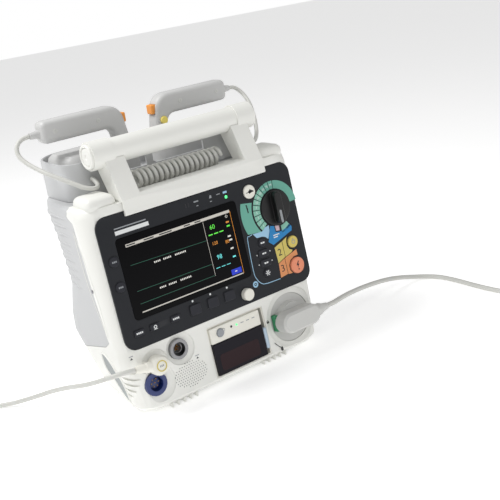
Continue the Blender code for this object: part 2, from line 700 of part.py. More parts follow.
def make_paddle(label, side, body, finish):
    paddle = place(f"{label}_paddle", hand(paddle_grip(), side), finish["paddle"], body)
    fuse(paddle, hand(paddle_shoe(), side))
    sleeve = turned([(0, 0), (6.2, 0), (4.0, 16), (0, 16)], 16)
    relief = moved(sleeve, Matrix.Translation((GRIP_END - 4, PADDLE_Y, 343)) @ ALONG_X)
    fuse(paddle, hand(relief, side))
    pocket = block((10, 31), (PADDLE_Y - 7, PADDLE_Y + 7), (333, 346))
    cut(paddle, hand(pocket, side))
    key = block((19.6, 27.5), (PADDLE_Y - 6.7, PADDLE_Y + 6.7), (333.3, 345.7), 1, 1)
    place(f"{label}_shock_key", hand(key, side), finish["orange"], body)
    flat = rounded(SHOE_SIZE[0] - 12, SHOE_SIZE[1] - 10, 10, 3, side * SHOE_X, PADDLE_Y)
    place(f"{label}_electrode", prism(flat, TRAY_FLOOR + 0.5, TRAY_FLOOR + 4.0),
          finish["steel"], body)
    if side > 0:
        at = Matrix.Translation((32.5, 38, 324)) @ Matrix.Rotation(math.radians(90), 4, "X")
        cut(paddle, moved(rod(5.5, -7, 9, 20), at))
        button = [(0, -4), (5.2, -4), (5.2, 2.0), (4.4, 2.8), (0, 2.8)]
        place("paddle_charge_key", moved(turned(button, 20), at), finish["yellow"], body)


# ---------------------------------------------------------------- leads
def make_curly_cord(body, finish):
    axis = Matrix.Translation((0, CURL_Y, CURL_Z)) @ ALONG_X
    place("curly_cord", moved(rod(CURL_RADIUS, -CURL_HALF, CURL_HALF), axis), finish["lead"], body)


def make_coil(name, where, finish):
    (x, y), inner, outer, height = where
    low, ease = GAP, 3.0
    ring = [(inner + ease, low), (outer - ease, low), (outer, low + ease),
            (outer, height - ease), (outer - ease, height), (inner + ease, height),
            (inner, height - ease), (inner, low + ease)]
    world = make_frame(name + "_frame", Matrix.Identity(4))
    place(name, shifted(turned(ring, 28), x, y), finish, world)


def make_leads(finish):
    tube("ecg_lead", ECG_ROUTE, LEAD_DIAMETER, finish["lead"])
    tube("therapy_lead", THERAPY_ROUTE, THERAPY_DIAMETER, finish["lead"])
    tube("left_paddle_lead", LEFT_LEAD_ROUTE, PADDLE_LEAD_DIAMETER, finish["lead"])
    tube("right_paddle_lead", RIGHT_LEAD_ROUTE, PADDLE_LEAD_DIAMETER, finish["lead"])
    make_coil("ecg_coil", ECG_COIL, finish["lead"])
    make_coil("therapy_coil", THERAPY_COIL, finish["lead"])
    world = make_frame("connector_frame", Matrix.Identity(4))
    (x, y), inner, outer, height = ECG_COIL
    top = height + GAP
    place("ecg_yoke", block((x - 34, x + 2), (y - 36, y - 12), (top, top + 11), 2.5, 1),
          finish["paddle"], world)
    (x, y), inner, outer, height = THERAPY_COIL
    top = height + GAP
    place("pads_connector", block((x - 12, x + 40), (y - 46, y - 18), (top, top + 13), 3, 1),
          finish["paddle"], world)


def main():
    clear_scene()
    body, face = make_frames()
    finish = make_materials()
    make_casings(body, finish)
    make_base(body, finish)
    make_handle(body, finish)
    make_tray(body, finish)
    make_panel(face, finish)
    make_dial(face, finish)
    make_keys(face, finish)
    make_sockets(face, finish)
    make_plugs(face, finish)
    make_printer(face, finish)
    make_inside(body, face, finish)
    make_paddle("left", -1, body, finish)
    make_paddle("right", 1, body, finish)
    make_curly_cord(body, finish)
    make_leads(finish)


main()
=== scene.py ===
import json
import math

import bmesh
import bpy
from mathutils import Matrix, Vector
from mathutils.bvhtree import BVHTree


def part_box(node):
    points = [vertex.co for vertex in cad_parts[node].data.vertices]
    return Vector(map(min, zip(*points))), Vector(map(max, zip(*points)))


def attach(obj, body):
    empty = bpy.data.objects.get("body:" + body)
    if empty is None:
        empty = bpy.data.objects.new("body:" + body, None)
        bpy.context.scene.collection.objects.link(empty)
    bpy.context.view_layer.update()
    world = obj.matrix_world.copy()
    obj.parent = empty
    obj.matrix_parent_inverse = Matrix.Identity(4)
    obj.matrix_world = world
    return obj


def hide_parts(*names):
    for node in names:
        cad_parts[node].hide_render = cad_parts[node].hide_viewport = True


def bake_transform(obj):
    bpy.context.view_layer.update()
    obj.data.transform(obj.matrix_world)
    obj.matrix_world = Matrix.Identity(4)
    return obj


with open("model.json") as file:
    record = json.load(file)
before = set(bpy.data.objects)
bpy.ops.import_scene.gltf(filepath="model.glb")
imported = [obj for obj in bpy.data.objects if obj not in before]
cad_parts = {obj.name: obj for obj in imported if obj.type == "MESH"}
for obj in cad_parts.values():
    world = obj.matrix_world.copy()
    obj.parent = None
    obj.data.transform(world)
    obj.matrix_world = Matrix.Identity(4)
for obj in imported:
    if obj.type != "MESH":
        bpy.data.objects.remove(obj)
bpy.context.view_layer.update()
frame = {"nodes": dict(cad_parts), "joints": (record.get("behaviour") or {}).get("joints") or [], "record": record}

MM = 0.001
RIGHT = Vector((1, 0, 0))
UPRIGHT = Matrix.Identity(4)
INK = 0.12                    # thickness of a printed mark
LIFT = 0.02                   # air under a printed mark
BODY_OF = {node: body for body, nodes in frame["record"]["behaviour"]["bodies"].items()
           for node in nodes}


# ---------------------------------------------------------------- places from the frame
def joint_named(name):
    return next(joint for joint in frame["joints"] if joint["name"] == name)


def face_matrix():
    """The control panel's own frame: x to the right, y up the face, z out of it."""
    dial = joint_named("energy_dial_turn")
    out = Vector(dial["axis"]).normalized()
    up = out.cross(RIGHT)
    low, high = (Vector(corner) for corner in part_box("display_window"))
    middle = (low + high) / 2 / MM
    on_face = Vector(dial["pos_m"]) / MM
    rise = (on_face - middle).dot(up)
    start = on_face - up * rise
    start.x = 0.0
    matrix = Matrix((RIGHT, up, out)).transposed().to_4x4()
    matrix.translation = start
    return matrix


FACE = face_matrix()


def centre(node):
    low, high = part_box(node)
    return (Vector(low) + Vector(high)) / 2 / MM


def spot(node):
    """A node's middle on the face, in the face's own millimetres."""
    at = FACE.inverted() @ centre(node)
    return at.x, at.y


def surface_of(*nodes):
    """A tree that rays can be cast on, in millimetres."""
    points, faces = [], []
    for node in nodes:
        mesh = frame["nodes"][node].data
        start = len(points)
        points += [vert.co / MM for vert in mesh.vertices]
        faces += [[start + i for i in face.vertices] for face in mesh.polygons]
    return BVHTree.FromPolygons(points, faces)


CASING = surface_of("front_casing", "rear_casing")


def on_skin(origin, direction):
    """Where a ray from outside meets the casing, and the surface's direction there."""
    where, normal, _, _ = CASING.ray_cast(Vector(origin), Vector(direction))
    if where is None:
        return None
    if normal.dot(Vector(direction)) > 0:
        normal = -normal
    return where, normal


# ---------------------------------------------------------------- outlines and solids
def arc(cx, cy, radius, start, end, steps):
    angles = [math.radians(start + (end - start) * i / steps) for i in range(steps + 1)]
    return [(cx + radius * math.cos(a), cy + radius * math.sin(a)) for a in angles]


def rounded(width, height, corner, steps=6, x=0.0, y=0.0):
    w, h = width / 2 - corner, height / 2 - corner
    outline = []
    for cx, cy, start in ((w, h, 0), (-w, h, 90), (-w, -h, 180), (w, -h, 270)):
        outline += arc(x + cx, y + cy, corner, start, start + 90, steps)
    return outline


def loft(rings, closed=False):
    """A closed solid through rings of equal count; closed joins last ring to first."""
    shape = bmesh.new()
    rows = [[shape.verts.new(point) for point in ring] for ring in rings]
    pairs = list(zip(rows, rows[1:]))
    if closed:
        pairs.append((rows[-1], rows[0]))
    count = len(rows[0])
    for low, high in pairs:
        for i in range(count):
            j = (i + 1) % count
            shape.faces.new((low[i], low[j], high[j], high[i]))
    if not closed:
        shape.faces.new(list(reversed(rows[0])))
        shape.faces.new(rows[-1])
    return shape


def prism(outline, low, high):
    return loft([[(x, y, z) for x, y in outline] for z in (low, high)])


def cushion(width, height, corner, low, high, edge, x=0.0, y=0.0, crown=0.0):
    """A rounded block whose top edge is a quarter circle, with a slightly domed top."""
    rings = [(0.0, low)]
    for step in range(5):
        a = math.radians(90 * step / 4)
        rings.append((edge * (1 - math.cos(a)), high - edge + edge * math.sin(a)))
    for share in (0.35, 0.7):
        rings.append((edge + share * (min(width, height) / 2 - edge) * 0.9,
                      high + crown * share))
    levels = []
    for inset, z in rings:
        w, h = width - 2 * inset, height - 2 * inset
        r = max(min(corner - inset, w / 2 - 0.01, h / 2 - 0.01), 0.05)
        levels.append([(px, py, z) for px, py in rounded(w, h, r, 5, x, y)])
    return loft(levels)


def turned(profile, steps=48):
    """A solid of revolution about Z from (radius, height) points; radius 0 ends it."""
    shape = bmesh.new()
    columns = []
    for radius, height in profile:
        if radius == 0:
            columns.append([shape.verts.new((0, 0, height))])
            continue
        turn = [2 * math.pi * i / steps for i in range(steps)]
        columns.append([shape.verts.new((radius * math.cos(a), radius * math.sin(a), height))
                        for a in turn])
    for a, b in zip(columns, columns[1:] + columns[:1]):
        if len(a) == 1 and len(b) == 1:
            continue
        for i in range(steps):
            j = (i + 1) % steps
            corners = []
            for vert in (a[i % len(a)], a[j % len(a)], b[j % len(b)], b[i % len(b)]):
                if vert not in corners:
                    corners.append(vert)
            shape.faces.new(corners)
    return shape


def block(x, y, z):
    shape = bmesh.new()
    bmesh.ops.create_cube(shape, size=1.0)
    spans = [high - low for low, high in (x, y, z)]
    middle = [(low + high) / 2 for low, high in (x, y, z)]
    bmesh.ops.scale(shape, vec=spans, verts=shape.verts)
    bmesh.ops.translate(shape, vec=middle, verts=shape.verts)
    return shape


def moved(shape, matrix):
    bmesh.ops.transform(shape, matrix=matrix, verts=shape.verts)
    return shape


def shifted(shape, x, y, z=0.0):
    return moved(shape, Matrix.Translation((x, y, z)))


def merged(*shapes):
    whole = bmesh.new()
    for shape in shapes:
        scrap = bpy.data.meshes.new("scrap")
        shape.to_mesh(scrap)
        shape.free()
        whole.from_mesh(scrap)
        bpy.data.meshes.remove(scrap)
    return whole


def smooth_curve(points, per_span=8):
    """A fine line through the points, as a Catmull-Rom curve."""
    given = [Vector(p) for p in points]
    ends = [given[0] * 2 - given[1]] + given + [given[-1] * 2 - given[-2]]
    fine = []
    for a, b, c, d in zip(ends, ends[1:], ends[2:], ends[3:]):
        for i in range(per_span):
            t = i / per_span
            fine.append(0.5 * (2 * b + (c - a) * t + (2 * a - 5 * b + 4 * c - d) * t ** 2
                               + (3 * b - a - 3 * c + d) * t ** 3))
    fine.append(given[-1])
    return fine


def length_of(points):
    return sum((b - a).length for a, b in zip(points, points[1:]))


def sweep(points, radius, sides=10, closed=False):
    """A round bar along a line; radius is a number or a function of 0 to 1 along it."""
    points = [Vector(p) for p in points]
    count = len(points)
    rings = []
    side = None
    for i, point in enumerate(points):
        before = points[i - 1] if i or closed else point
        after = points[(i + 1) % count] if i + 1 < count or closed else point
        along = (after - before).normalized()
        if side is None:
            side = along.orthogonal().normalized()
        side = (side - along * side.dot(along)).normalized()
        other = along.cross(side)
        r = radius(i / (count - 1)) if callable(radius) else radius
        rings.append([point + (side * math.cos(a) + other * math.sin(a)) * r
                      for a in (2 * math.pi * k / sides for k in range(sides))])
    return loft(rings, closed)


# ---------------------------------------------------------------- finishes
def add_node(tree, kind, **values):
    node = tree.nodes.new(kind)
    for key, value in values.items():
        if key in node.inputs:
            node.inputs[key].default_value = value
        else:
            setattr(node, key, value)
    return node


def new_group(name, inputs, outputs):
    tree = bpy.data.node_groups.new(name, "ShaderNodeTree")
    for label, kind, value in inputs:
        socket = tree.interface.new_socket(label, in_out="INPUT", socket_type=kind)
        socket.default_value = value
    for label, kind in outputs:
        tree.interface.new_socket(label, in_out="OUTPUT", socket_type=kind)
    return tree, tree.nodes.new("NodeGroupInput"), tree.nodes.new("NodeGroupOutput")


def mapped(tree, value, low, high, start=0.0, end=1.0):
    """A value brought from one range to another."""
    made = add_node(tree, "ShaderNodeMapRange")
    for label, number in (("From Min", start), ("From Max", end), ("To Min", low),
                          ("To Max", high)):
        made.inputs[label].default_value = number
    tree.links.new(value, made.inputs["Value"])
    return made.outputs["Result"]


def sum_or_product(tree, operation, first, second):
    made = add_node(tree, "ShaderNodeMath", operation=operation)
    tree.links.new(first, made.inputs[0])
    tree.links.new(second, made.inputs[1])
    return made.outputs[0]


def mixed(tree, share, colour, other, blend="MIX"):
    made = add_node(tree, "ShaderNodeMix", data_type="RGBA", blend_type=blend)
    tree.links.new(share, made.inputs["Factor"])
    tree.links.new(colour, made.inputs["A"])
    made.inputs["B"].default_value = other
    return made.outputs["Result"]


def finish_group(tree, result, colour, rough, bump, height):
    """Joins the three results that every finish gives."""
    tree.links.new(height, bump.inputs["Height"])
    for label, value in (("Colour", colour), ("Rough", rough),
                         ("Normal", bump.outputs["Normal"])):
        tree.links.new(value, result.inputs[label])
    return tree


SURFACE = [("Colour", "NodeSocketColor"), ("Rough", "NodeSocketFloat"),
           ("Normal", "NodeSocketVector")]


def moulded_skin_group():
    """Fine moulded grain, a slow drift of tone and paler rubbed edges."""
    numbers = {"Drift": 0.05, "Grain": 1400.0, "Depth": 0.1, "Rubbed": 0.1, "Rough": 0.45}
    inputs = [("Colour", "NodeSocketColor", (0.8, 0.8, 0.8, 1))]
    inputs += [(label, "NodeSocketFloat", value) for label, value in numbers.items()]
    tree, given, result = new_group("moulded_skin", inputs, SURFACE)
    place = add_node(tree, "ShaderNodeTexCoord").outputs["Object"]
    slow = add_node(tree, "ShaderNodeTexNoise", Scale=17.0, Detail=3.0)
    fine = add_node(tree, "ShaderNodeTexNoise", Detail=2.0)
    bump = add_node(tree, "ShaderNodeBump", Distance=0.0002)
    edge = add_node(tree, "ShaderNodeNewGeometry").outputs["Pointiness"]
    for start, end in ((place, slow.inputs["Vector"]), (place, fine.inputs["Vector"]),
                       (given.outputs["Grain"], fine.inputs["Scale"]),
                       (given.outputs["Depth"], bump.inputs["Strength"])):
        tree.links.new(start, end)
    drift = sum_or_product(tree, "MULTIPLY", slow.outputs["Fac"], given.outputs["Drift"])
    darker = mixed(tree, drift, given.outputs["Colour"], (0.55, 0.54, 0.5, 1), "MULTIPLY")
    edges = mapped(tree, edge, 0.0, 1.0, 0.52, 0.62)
    rubbed = sum_or_product(tree, "MULTIPLY", edges, given.outputs["Rubbed"])
    paler = mixed(tree, rubbed, darker, (0.86, 0.86, 0.84, 1))
    gloss = mapped(tree, slow.outputs["Fac"], -0.05, 0.05)
    rough = sum_or_product(tree, "ADD", given.outputs["Rough"], gloss)
    return finish_group(tree, result, paler, rough, bump, fine.outputs["Fac"])


def brushed_group():
    """Fine parallel scratches along X, for plated and brushed metal."""
    inputs = [("Colour", "NodeSocketColor", (0.6, 0.6, 0.6, 1)),
              ("Rough", "NodeSocketFloat", 0.3)]
    tree, given, result = new_group("brushed_metal", inputs, SURFACE)
    place = add_node(tree, "ShaderNodeTexCoord")
    stretch = add_node(tree, "ShaderNodeMapping")
    stretch.inputs["Scale"].default_value = (30, 900, 900)
    noise = add_node(tree, "ShaderNodeTexNoise", Scale=1.0, Detail=3.0)
    tree.links.new(place.outputs["Object"], stretch.inputs["Vector"])
    tree.links.new(stretch.outputs["Vector"], noise.inputs["Vector"])
    lines = noise.outputs["Fac"]
    tone = mixed(tree, lines, given.outputs["Colour"], (0.8, 0.8, 0.8, 1), "MULTIPLY")
    rough = sum_or_product(tree, "ADD", given.outputs["Rough"], mapped(tree, lines, -0.08, 0.1))
    bump = add_node(tree, "ShaderNodeBump", Strength=0.12, Distance=0.0001)
    return finish_group(tree, result, tone, rough, bump, lines)


MOULDED = moulded_skin_group()
BRUSHED = brushed_group()


def linear(r, g, b):
    """An sRGB colour, 0 to 255, as linear light."""
    parts = []
    for value in (r, g, b):
        v = value / 255
        parts.append(v / 12.92 if v <= 0.04045 else ((v + 0.055) / 1.055) ** 2.4)
    return (*parts, 1.0)


def grouped_material(name, group, settings, metallic=0.0):
    made = bpy.data.materials.new(name)
    made.use_nodes = True
    tree = made.node_tree
    shader = tree.nodes["Principled BSDF"]
    shader.inputs["Metallic"].default_value = metallic
    skin = tree.nodes.new("ShaderNodeGroup")
    skin.node_tree = group
    for key, value in settings.items():
        skin.inputs[key].default_value = value
    tree.links.new(skin.outputs["Colour"], shader.inputs["Base Color"])
    tree.links.new(skin.outputs["Rough"], shader.inputs["Roughness"])
    tree.links.new(skin.outputs["Normal"], shader.inputs["Normal"])
    made.diffuse_color = settings["Colour"]
    return made, shader


def plastic(name, rgb, rough, grain=1400.0, depth=0.12, drift=0.08, rubbed=0.08, coat=0.0):
    settings = {"Colour": linear(*rgb), "Rough": rough, "Grain": grain, "Depth": depth,
                "Drift": drift, "Rubbed": rubbed}
    made, shader = grouped_material(name, MOULDED, settings)
    shader.inputs["Coat Weight"].default_value = coat
    shader.inputs["Coat Roughness"].default_value = 0.12
    return made


def metal(name, rgb, rough):
    return grouped_material(name, BRUSHED, {"Colour": linear(*rgb), "Rough": rough}, 1.0)[0]


def ink(name, rgb, rough=0.42, glow=0.0):
    """A printed film: a slow drift of tone, hardly any grain; glow makes it a lit mark."""
    made = plastic(name, rgb, rough, 2200.0, 0.05, 0.05, 0.0)
    if glow:
        shader = made.node_tree.nodes["Principled BSDF"]
        shader.inputs["Emission Color"].default_value = linear(*rgb)
        shader.inputs["Emission Strength"].default_value = glow
    return made


FINISH = {}


def add_finishes(maker, **table):
    """Finishes from rows of an sRGB colour and then the maker's own numbers."""
    for name, row in table.items():
        FINISH[name] = maker(name, *row)


add_finishes(
    plastic,
    casing_white=((236, 236, 231), 0.42, 1400.0, 0.16),
    rear_grey=((194, 195, 196), 0.5, 1400.0, 0.2),
    paddle_grey=((200, 200, 199), 0.46, 1400.0, 0.16), plug_grey=((205, 205, 202), 0.45),
    inset_grey=((158, 163, 163), 0.6, 900.0, 0.3),
    panel_black=((30, 32, 37), 0.5, 1800.0, 0.14, 0.08, 0.02),
    window_glass=((10, 10, 12), 0.12, 300.0, 0.0, 0.0, 0.0, 1.0),
    key_grey=((38, 39, 46), 0.55, 1500.0, 0.2, 0.08, 0.05),
    knob_black=((12, 12, 13), 0.36, 900.0, 0.05, 0.08, 0.02),
    cream_plastic=((236, 234, 224), 0.42), shock_orange=((235, 144, 108), 0.38),
    paddle_orange=((247, 158, 58), 0.38), charge_yellow=((214, 194, 98), 0.38),
    paddle_yellow=((244, 224, 112), 0.38), release_green=((42, 140, 92), 0.36),
    socket_navy=((26, 46, 108), 0.34), pin_dark=((24, 26, 34), 0.5),
    shadow_grey=((92, 94, 98), 0.7), cap_grey=((122, 124, 128), 0.6, 900.0, 0.3),
    printer_smoke=((30, 28, 35), 0.2, 400.0, 0.02, 0.2, 0.0, 1.0),
    printer_tint=((50, 34, 38), 0.22, 90.0, 0.0, 0.5, 0.0, 1.0),
    latch_blue=((184, 204, 222), 0.4), circuit_board=((30, 104, 62), 0.45, 500.0, 0.4),
    battery_cell=((40, 52, 78), 0.5), paper=((240, 238, 230), 0.85, 700.0, 0.3),
    rubber_dark=((40, 40, 42), 0.8, 900.0, 0.4),
    lead_grey=((205, 205, 200), 0.44, 700.0, 0.08, 0.08, 0.0))
add_finishes(
    metal,
    electrode_steel=((200, 200, 202), 0.3), socket_metal=((158, 158, 160), 0.34),
    screw_steel=((150, 150, 154), 0.35), contact_brass=((214, 160, 84), 0.3))
add_finishes(
    ink,
    ink_teal=((104, 172, 154),), ink_teal_pale=((134, 192, 172),), ink_sky=((156, 198, 226),),
    ink_blue=((22, 128, 190),), ink_pink=((206, 180, 190),), ink_yellow=((208, 190, 100),),
    ink_amber=((220, 144, 90),), ink_white=((226, 228, 228),), ink_grey=((150, 154, 158),),
    ink_black=((26, 28, 32),), lit_green=((84, 232, 134), 0.42, 1.2),
    screen_bar=((188, 184, 176), 0.2, 0.25), screen_pale=((206, 204, 198), 0.2, 0.35),
    screen_green=((92, 214, 70), 0.2, 0.5), screen_deep=((30, 84, 66), 0.2, 0.2),
    screen_amber=((206, 132, 48), 0.2, 0.4), screen_cyan=((104, 214, 214), 0.2, 0.4),
    screen_blue=((10, 40, 170), 0.2, 0.5))

# Dark parts that mirror less of the bright surroundings than plain plastic would.
DULL = {"window_glass": 0.08, "panel_black": 0.25, "key_grey": 0.25, "printer_smoke": 0.12,
        "printer_tint": 0.12}
for dull, level in DULL.items():
    shader = FINISH[dull].node_tree.nodes["Principled BSDF"]
    shader.inputs["Specular IOR Level"].default_value = level
    shader.inputs["Coat Weight"].default_value = 0.0


def shade(mesh, angle):
    mesh.shade_smooth()
    mesh.set_sharp_from_angle(angle=math.radians(angle))


def piece(name, shape, finish, where=UPRIGHT, body="root", smooth=34.0, bevel=0.0):
    """A shape in millimetres, placed by a matrix, as a finished piece on a body."""
    bmesh.ops.transform(shape, matrix=where, verts=shape.verts)
    bmesh.ops.scale(shape, vec=(MM, MM, MM), verts=shape.verts)
    bmesh.ops.recalc_face_normals(shape, faces=shape.faces)
    mesh = bpy.data.meshes.new(name)
    shape.to_mesh(mesh)
    shape.free()
    shade(mesh, smooth)
    mesh.materials.append(FINISH[finish])
    made = bpy.data.objects.new(name, mesh)
    bpy.context.scene.collection.objects.link(made)
    if bevel:
        ease(made, bevel)
    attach(made, body)
    return made


def ease(made, width, segments=2, angle=35.0):
    soft = made.modifiers.new("eased_edges", "BEVEL")
    soft.width = width * MM
    soft.segments = segments
    soft.limit_method = "ANGLE"
    soft.angle_limit = math.radians(angle)
    soft.harden_normals = True


def solidified(made):
    """The piece with its modifiers worked into its mesh."""
    bpy.context.view_layer.update()
    graph = bpy.context.evaluated_depsgraph_get()
    mesh = bpy.data.meshes.new_from_object(made.evaluated_get(graph))
    old = made.data
    made.modifiers.clear()
    made.data = mesh
    bpy.data.meshes.remove(old)
    return made


def welded_copy(node):
    """A node's mesh as one joined shape in millimetres, flat areas as single faces."""
    shape = bmesh.new()
    shape.from_mesh(frame["nodes"][node].data)
    bmesh.ops.scale(shape, vec=(1 / MM,) * 3, verts=shape.verts)
    bmesh.ops.remove_doubles(shape, verts=shape.verts, dist=0.01)
    bmesh.ops.dissolve_limit(shape, angle_limit=math.radians(0.6), verts=shape.verts,
                             edges=shape.edges)
    return shape


def hollowed(made, cutter, where=UPRIGHT, smooth=34.0):
    """The piece less a cutter's shape."""
    tool = piece(f"{made.name}_cutter", cutter, "rubber_dark", where)
    step = made.modifiers.new("cut", "BOOLEAN")
    step.operation = "DIFFERENCE"
    step.object = tool
    solidified(made)
    bpy.data.objects.remove(tool)
    shade(made.data, smooth)


def refined(node, finish, bevel=0.5, smooth=34.0, name=None, cutters=()):
    """A node's shape with eased edges, standing for the plain one."""
    made = piece(name or node + "_shell", welded_copy(node), finish,
                 body=BODY_OF[node], smooth=smooth)
    for cutter in cutters:
        hollowed(made, cutter, smooth=smooth)
    ease(made, bevel)
    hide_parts(node)
    return made


def lettering(text, size, x, y, low, high, turn=0.0):
    """Generic figures as a closed shape on the face."""
    curve = bpy.data.curves.new("figure", "FONT")
    curve.body = text
    curve.size = size
    curve.align_x = "CENTER"
    curve.align_y = "CENTER"
    curve.extrude = (high - low) / 2
    curve.resolution_u = 3
    holder = bpy.data.objects.new("figure", curve)
    bpy.context.scene.collection.objects.link(holder)
    bpy.context.view_layer.update()
    graph = bpy.context.evaluated_depsgraph_get()
    mesh = bpy.data.meshes.new_from_object(holder.evaluated_get(graph))
    shape = bmesh.new()
    shape.from_mesh(mesh)
    bmesh.ops.remove_doubles(shape, verts=shape.verts, dist=0.001)
    bpy.data.objects.remove(holder)
    bpy.data.curves.remove(curve)
    bpy.data.meshes.remove(mesh)
    turned_to = Matrix.Rotation(math.radians(turn), 4, "Z")
    return moved(shape, Matrix.Translation((x, y, (low + high) / 2)) @ turned_to)


class Printing:
    """Marks of each ink, collected and made as one thin piece per ink."""

    def __init__(self, label, where, body="root", base=0.0):
        self.label = label
        self.where = where
        self.body = body
        self.base = base
        self.marks = {}

    def add(self, finish, shape):
        self.marks.setdefault(finish, []).append(shape)

    def levels(self, layer):
        low = self.base + LIFT + layer * INK
        return low, low + INK

    def area(self, finish, outline, layer=0):
        self.add(finish, prism(outline, *self.levels(layer)))

    def bar(self, finish, x0, x1, y0, y1, layer=0):
        self.area(finish, [(x0, y0), (x1, y0), (x1, y1), (x0, y1)], layer)

    def disc(self, finish, x, y, radius, layer=0):
        self.area(finish, arc(x, y, radius, 0, 345, 23), layer)

    def sector(self, finish, at, inner, outer, start, end, layer=0):
        steps = max(3, round(abs(end - start) / 4))
        outline = arc(*at, outer, start, end, steps) + arc(*at, inner, end, start, steps)
        self.area(finish, outline, layer)

    def line(self, finish, points, width, layer=0):
        """A thin open stroke through points on the face."""
        points = [Vector(p[:2]) for p in points]
        left, right = [], []
        for i, point in enumerate(points):
            along = (points[min(i + 1, len(points) - 1)] - points[max(i - 1, 0)]).normalized()
            across = Vector((-along.y, along.x)) * width / 2
            left.append(tuple(point + across))
            right.append(tuple(point - across))
        self.area(finish, left + right[::-1], layer)

    def ring(self, finish, at, inner, outer):
        self.sector(finish, at, inner, outer, 0, 359)

    def dashes(self, finish, x, y, count, pitch, width, low=-1.0, high=1.0):
        """A row of short bars that stands in for a word."""
        for i in range(count):
            self.bar(finish, x + pitch * i, x + pitch * i + width, y + low, y + high)

    def figure(self, finish, text, size, x, y, layer=1, turn=0.0):
        self.add(finish, lettering(text, size, x, y, *self.levels(layer), turn))

    def make(self):
        """Makes the marks; each ink is one piece."""
        for finish, shapes in self.marks.items():
            piece(f"{self.label}_{finish}", merged(*shapes), finish, self.where, self.body, 20.0)


# ---------------------------------------------------------------- repeated pieces
def repeat_tree():
    """Geometry nodes: one part set on every point, made real, in one finish."""
    tree = bpy.data.node_groups.new("repeat_on_points", "GeometryNodeTree")
    add = tree.interface.new_socket
    add("Geometry", in_out="INPUT", socket_type="NodeSocketGeometry")
    part = add("Part", in_out="INPUT", socket_type="NodeSocketObject")
    finish = add("Finish", in_out="INPUT", socket_type="NodeSocketMaterial")
    add("Geometry", in_out="OUTPUT", socket_type="NodeSocketGeometry")
    given, result, points, info, spread, real, paint = (
        tree.nodes.new(kind) for kind in (
            "NodeGroupInput", "NodeGroupOutput", "GeometryNodeMeshToPoints",
            "GeometryNodeObjectInfo", "GeometryNodeInstanceOnPoints",
            "GeometryNodeRealizeInstances", "GeometryNodeSetMaterial"))
    for giver, out, taker, into in (
            (given, "Geometry", points, "Mesh"), (given, "Part", info, "Object"),
            (points, "Points", spread, "Points"), (info, "Geometry", spread, "Instance"),
            (spread, "Instances", real, "Geometry"), (real, "Geometry", paint, "Geometry"),
            (given, "Finish", paint, "Material"), (paint, "Geometry", result, "Geometry")):
        tree.links.new(giver.outputs[out], taker.inputs[into])
    return tree, part.identifier, finish.identifier


REPEAT, PART_SOCKET, FINISH_SOCKET = repeat_tree()


def repeated(name, shape, places, finish, where=UPRIGHT, body="root", smooth=34.0):
    """The shape set at every place, as one piece; places are in the same frame as it."""
    bmesh.ops.recalc_face_normals(shape, faces=shape.faces)
    part_mesh = bpy.data.meshes.new(name + "_part")
    shape.to_mesh(part_mesh)
    shape.free()
    part = bpy.data.objects.new(name + "_part", part_mesh)
    dots = bpy.data.meshes.new(name + "_places")
    dots.from_pydata([tuple(place) for place in places], [], [])
    holder = bpy.data.objects.new(name + "_places", dots)
    bpy.context.scene.collection.objects.link(holder)
    spread = holder.modifiers.new("repeat", "NODES")
    spread.node_group = REPEAT
    spread[PART_SOCKET] = part
    spread[FINISH_SOCKET] = FINISH[finish]
    bpy.context.view_layer.update()
    graph = bpy.context.evaluated_depsgraph_get()
    mesh = bpy.data.meshes.new_from_object(holder.evaluated_get(graph))
    whole = bmesh.new()
    whole.from_mesh(mesh)
    holder.modifiers.clear()
    for thing in (holder, part):
        bpy.data.objects.remove(thing)
    return piece(name, whole, finish, where, body, smooth)


# ---------------------------------------------------------------- leads
def metres(*points):
    return [tuple(value / 1000 for value in point) for point in points]


ECG_ROUTE = metres(
    (-146.3, -95.5, 71.2), (-155, -95.3, 72.5), (-164.5, -92.6, 72.4), (-173, -86, 70.2),
    (-181.2, -75, 66), (-186.6, -61, 60.4), (-191.4, -41, 53), (-198, -5, 41), (-204.5, 28, 28.5),
    (-213, 53, 18), (-223.5, 73, 10.2), (-237, 89, 5.2), (-252.5, 101.5, 3.6),
    (-267.5, 106.8, 3.2), (-282, 104.6, 3.2), (-293.4, 95.2, 3.2), (-298.9, 81, 3.2),
    (-299.8, 64, 3.2), (-299.7, 46, 3.2))
THERAPY_ROUTE = metres(
    (149, -105.8, 51.7), (162, -105.4, 51.7), (180, -100, 50.5), (206, -89, 46), (247, -74, 38),
    (289, -61, 29), (320, -53, 21.5), (349, -50, 14), (373, -52.6, 7.5), (390, -61.6, 4.3),
    (399.8, -77.4, 3.6), (403, -98, 3.6), (403, -121, 3.6), (402, -145, 3.6), (402, -170, 3.6),
    (404, -192, 3.6), (410, -211, 3.6), (420, -227, 3.6))
LEFT_LEAD_ROUTE = metres(
    (-152, 53.4, 343), (-160, 53.4, 342), (-167.2, 52.4, 338.2), (-171.6, 50, 331.5),
    (-172.2, 44.6, 323.4), (-168.6, 34.5, 315.4), (-162.8, 21, 308), (-156, 6.5, 301.4),
    (-147.6, -5.4, 294.9), (-138.4, -15.6, 288.2), (-129.6, -23.6, 282.2), (-121.6, -27.6, 279.4),
    (-114.6, -26.2, 278.9), (-110.2, -20.8, 280.8), (-109.6, -14, 284), (-110.6, -8.2, 287))
RIGHT_LEAD_ROUTE = metres(
    (152, 53.4, 343), (160, 53.2, 341.6), (166.4, 50.8, 336.8), (169.6, 44.6, 329.4),
    (168.8, 35, 321), (163.6, 22.5, 311.8), (155.6, 8.6, 303), (147, -4, 294.9),
    (138.4, -15.2, 288.2), (129.6, -23.6, 282.2), (121.6, -27.6, 279.4), (114.6, -26.2, 278.9),
    (110.2, -20.8, 280.8), (109.6, -14, 284), (110.6, -8.2, 287))
ECG_LENGTH = 2.4
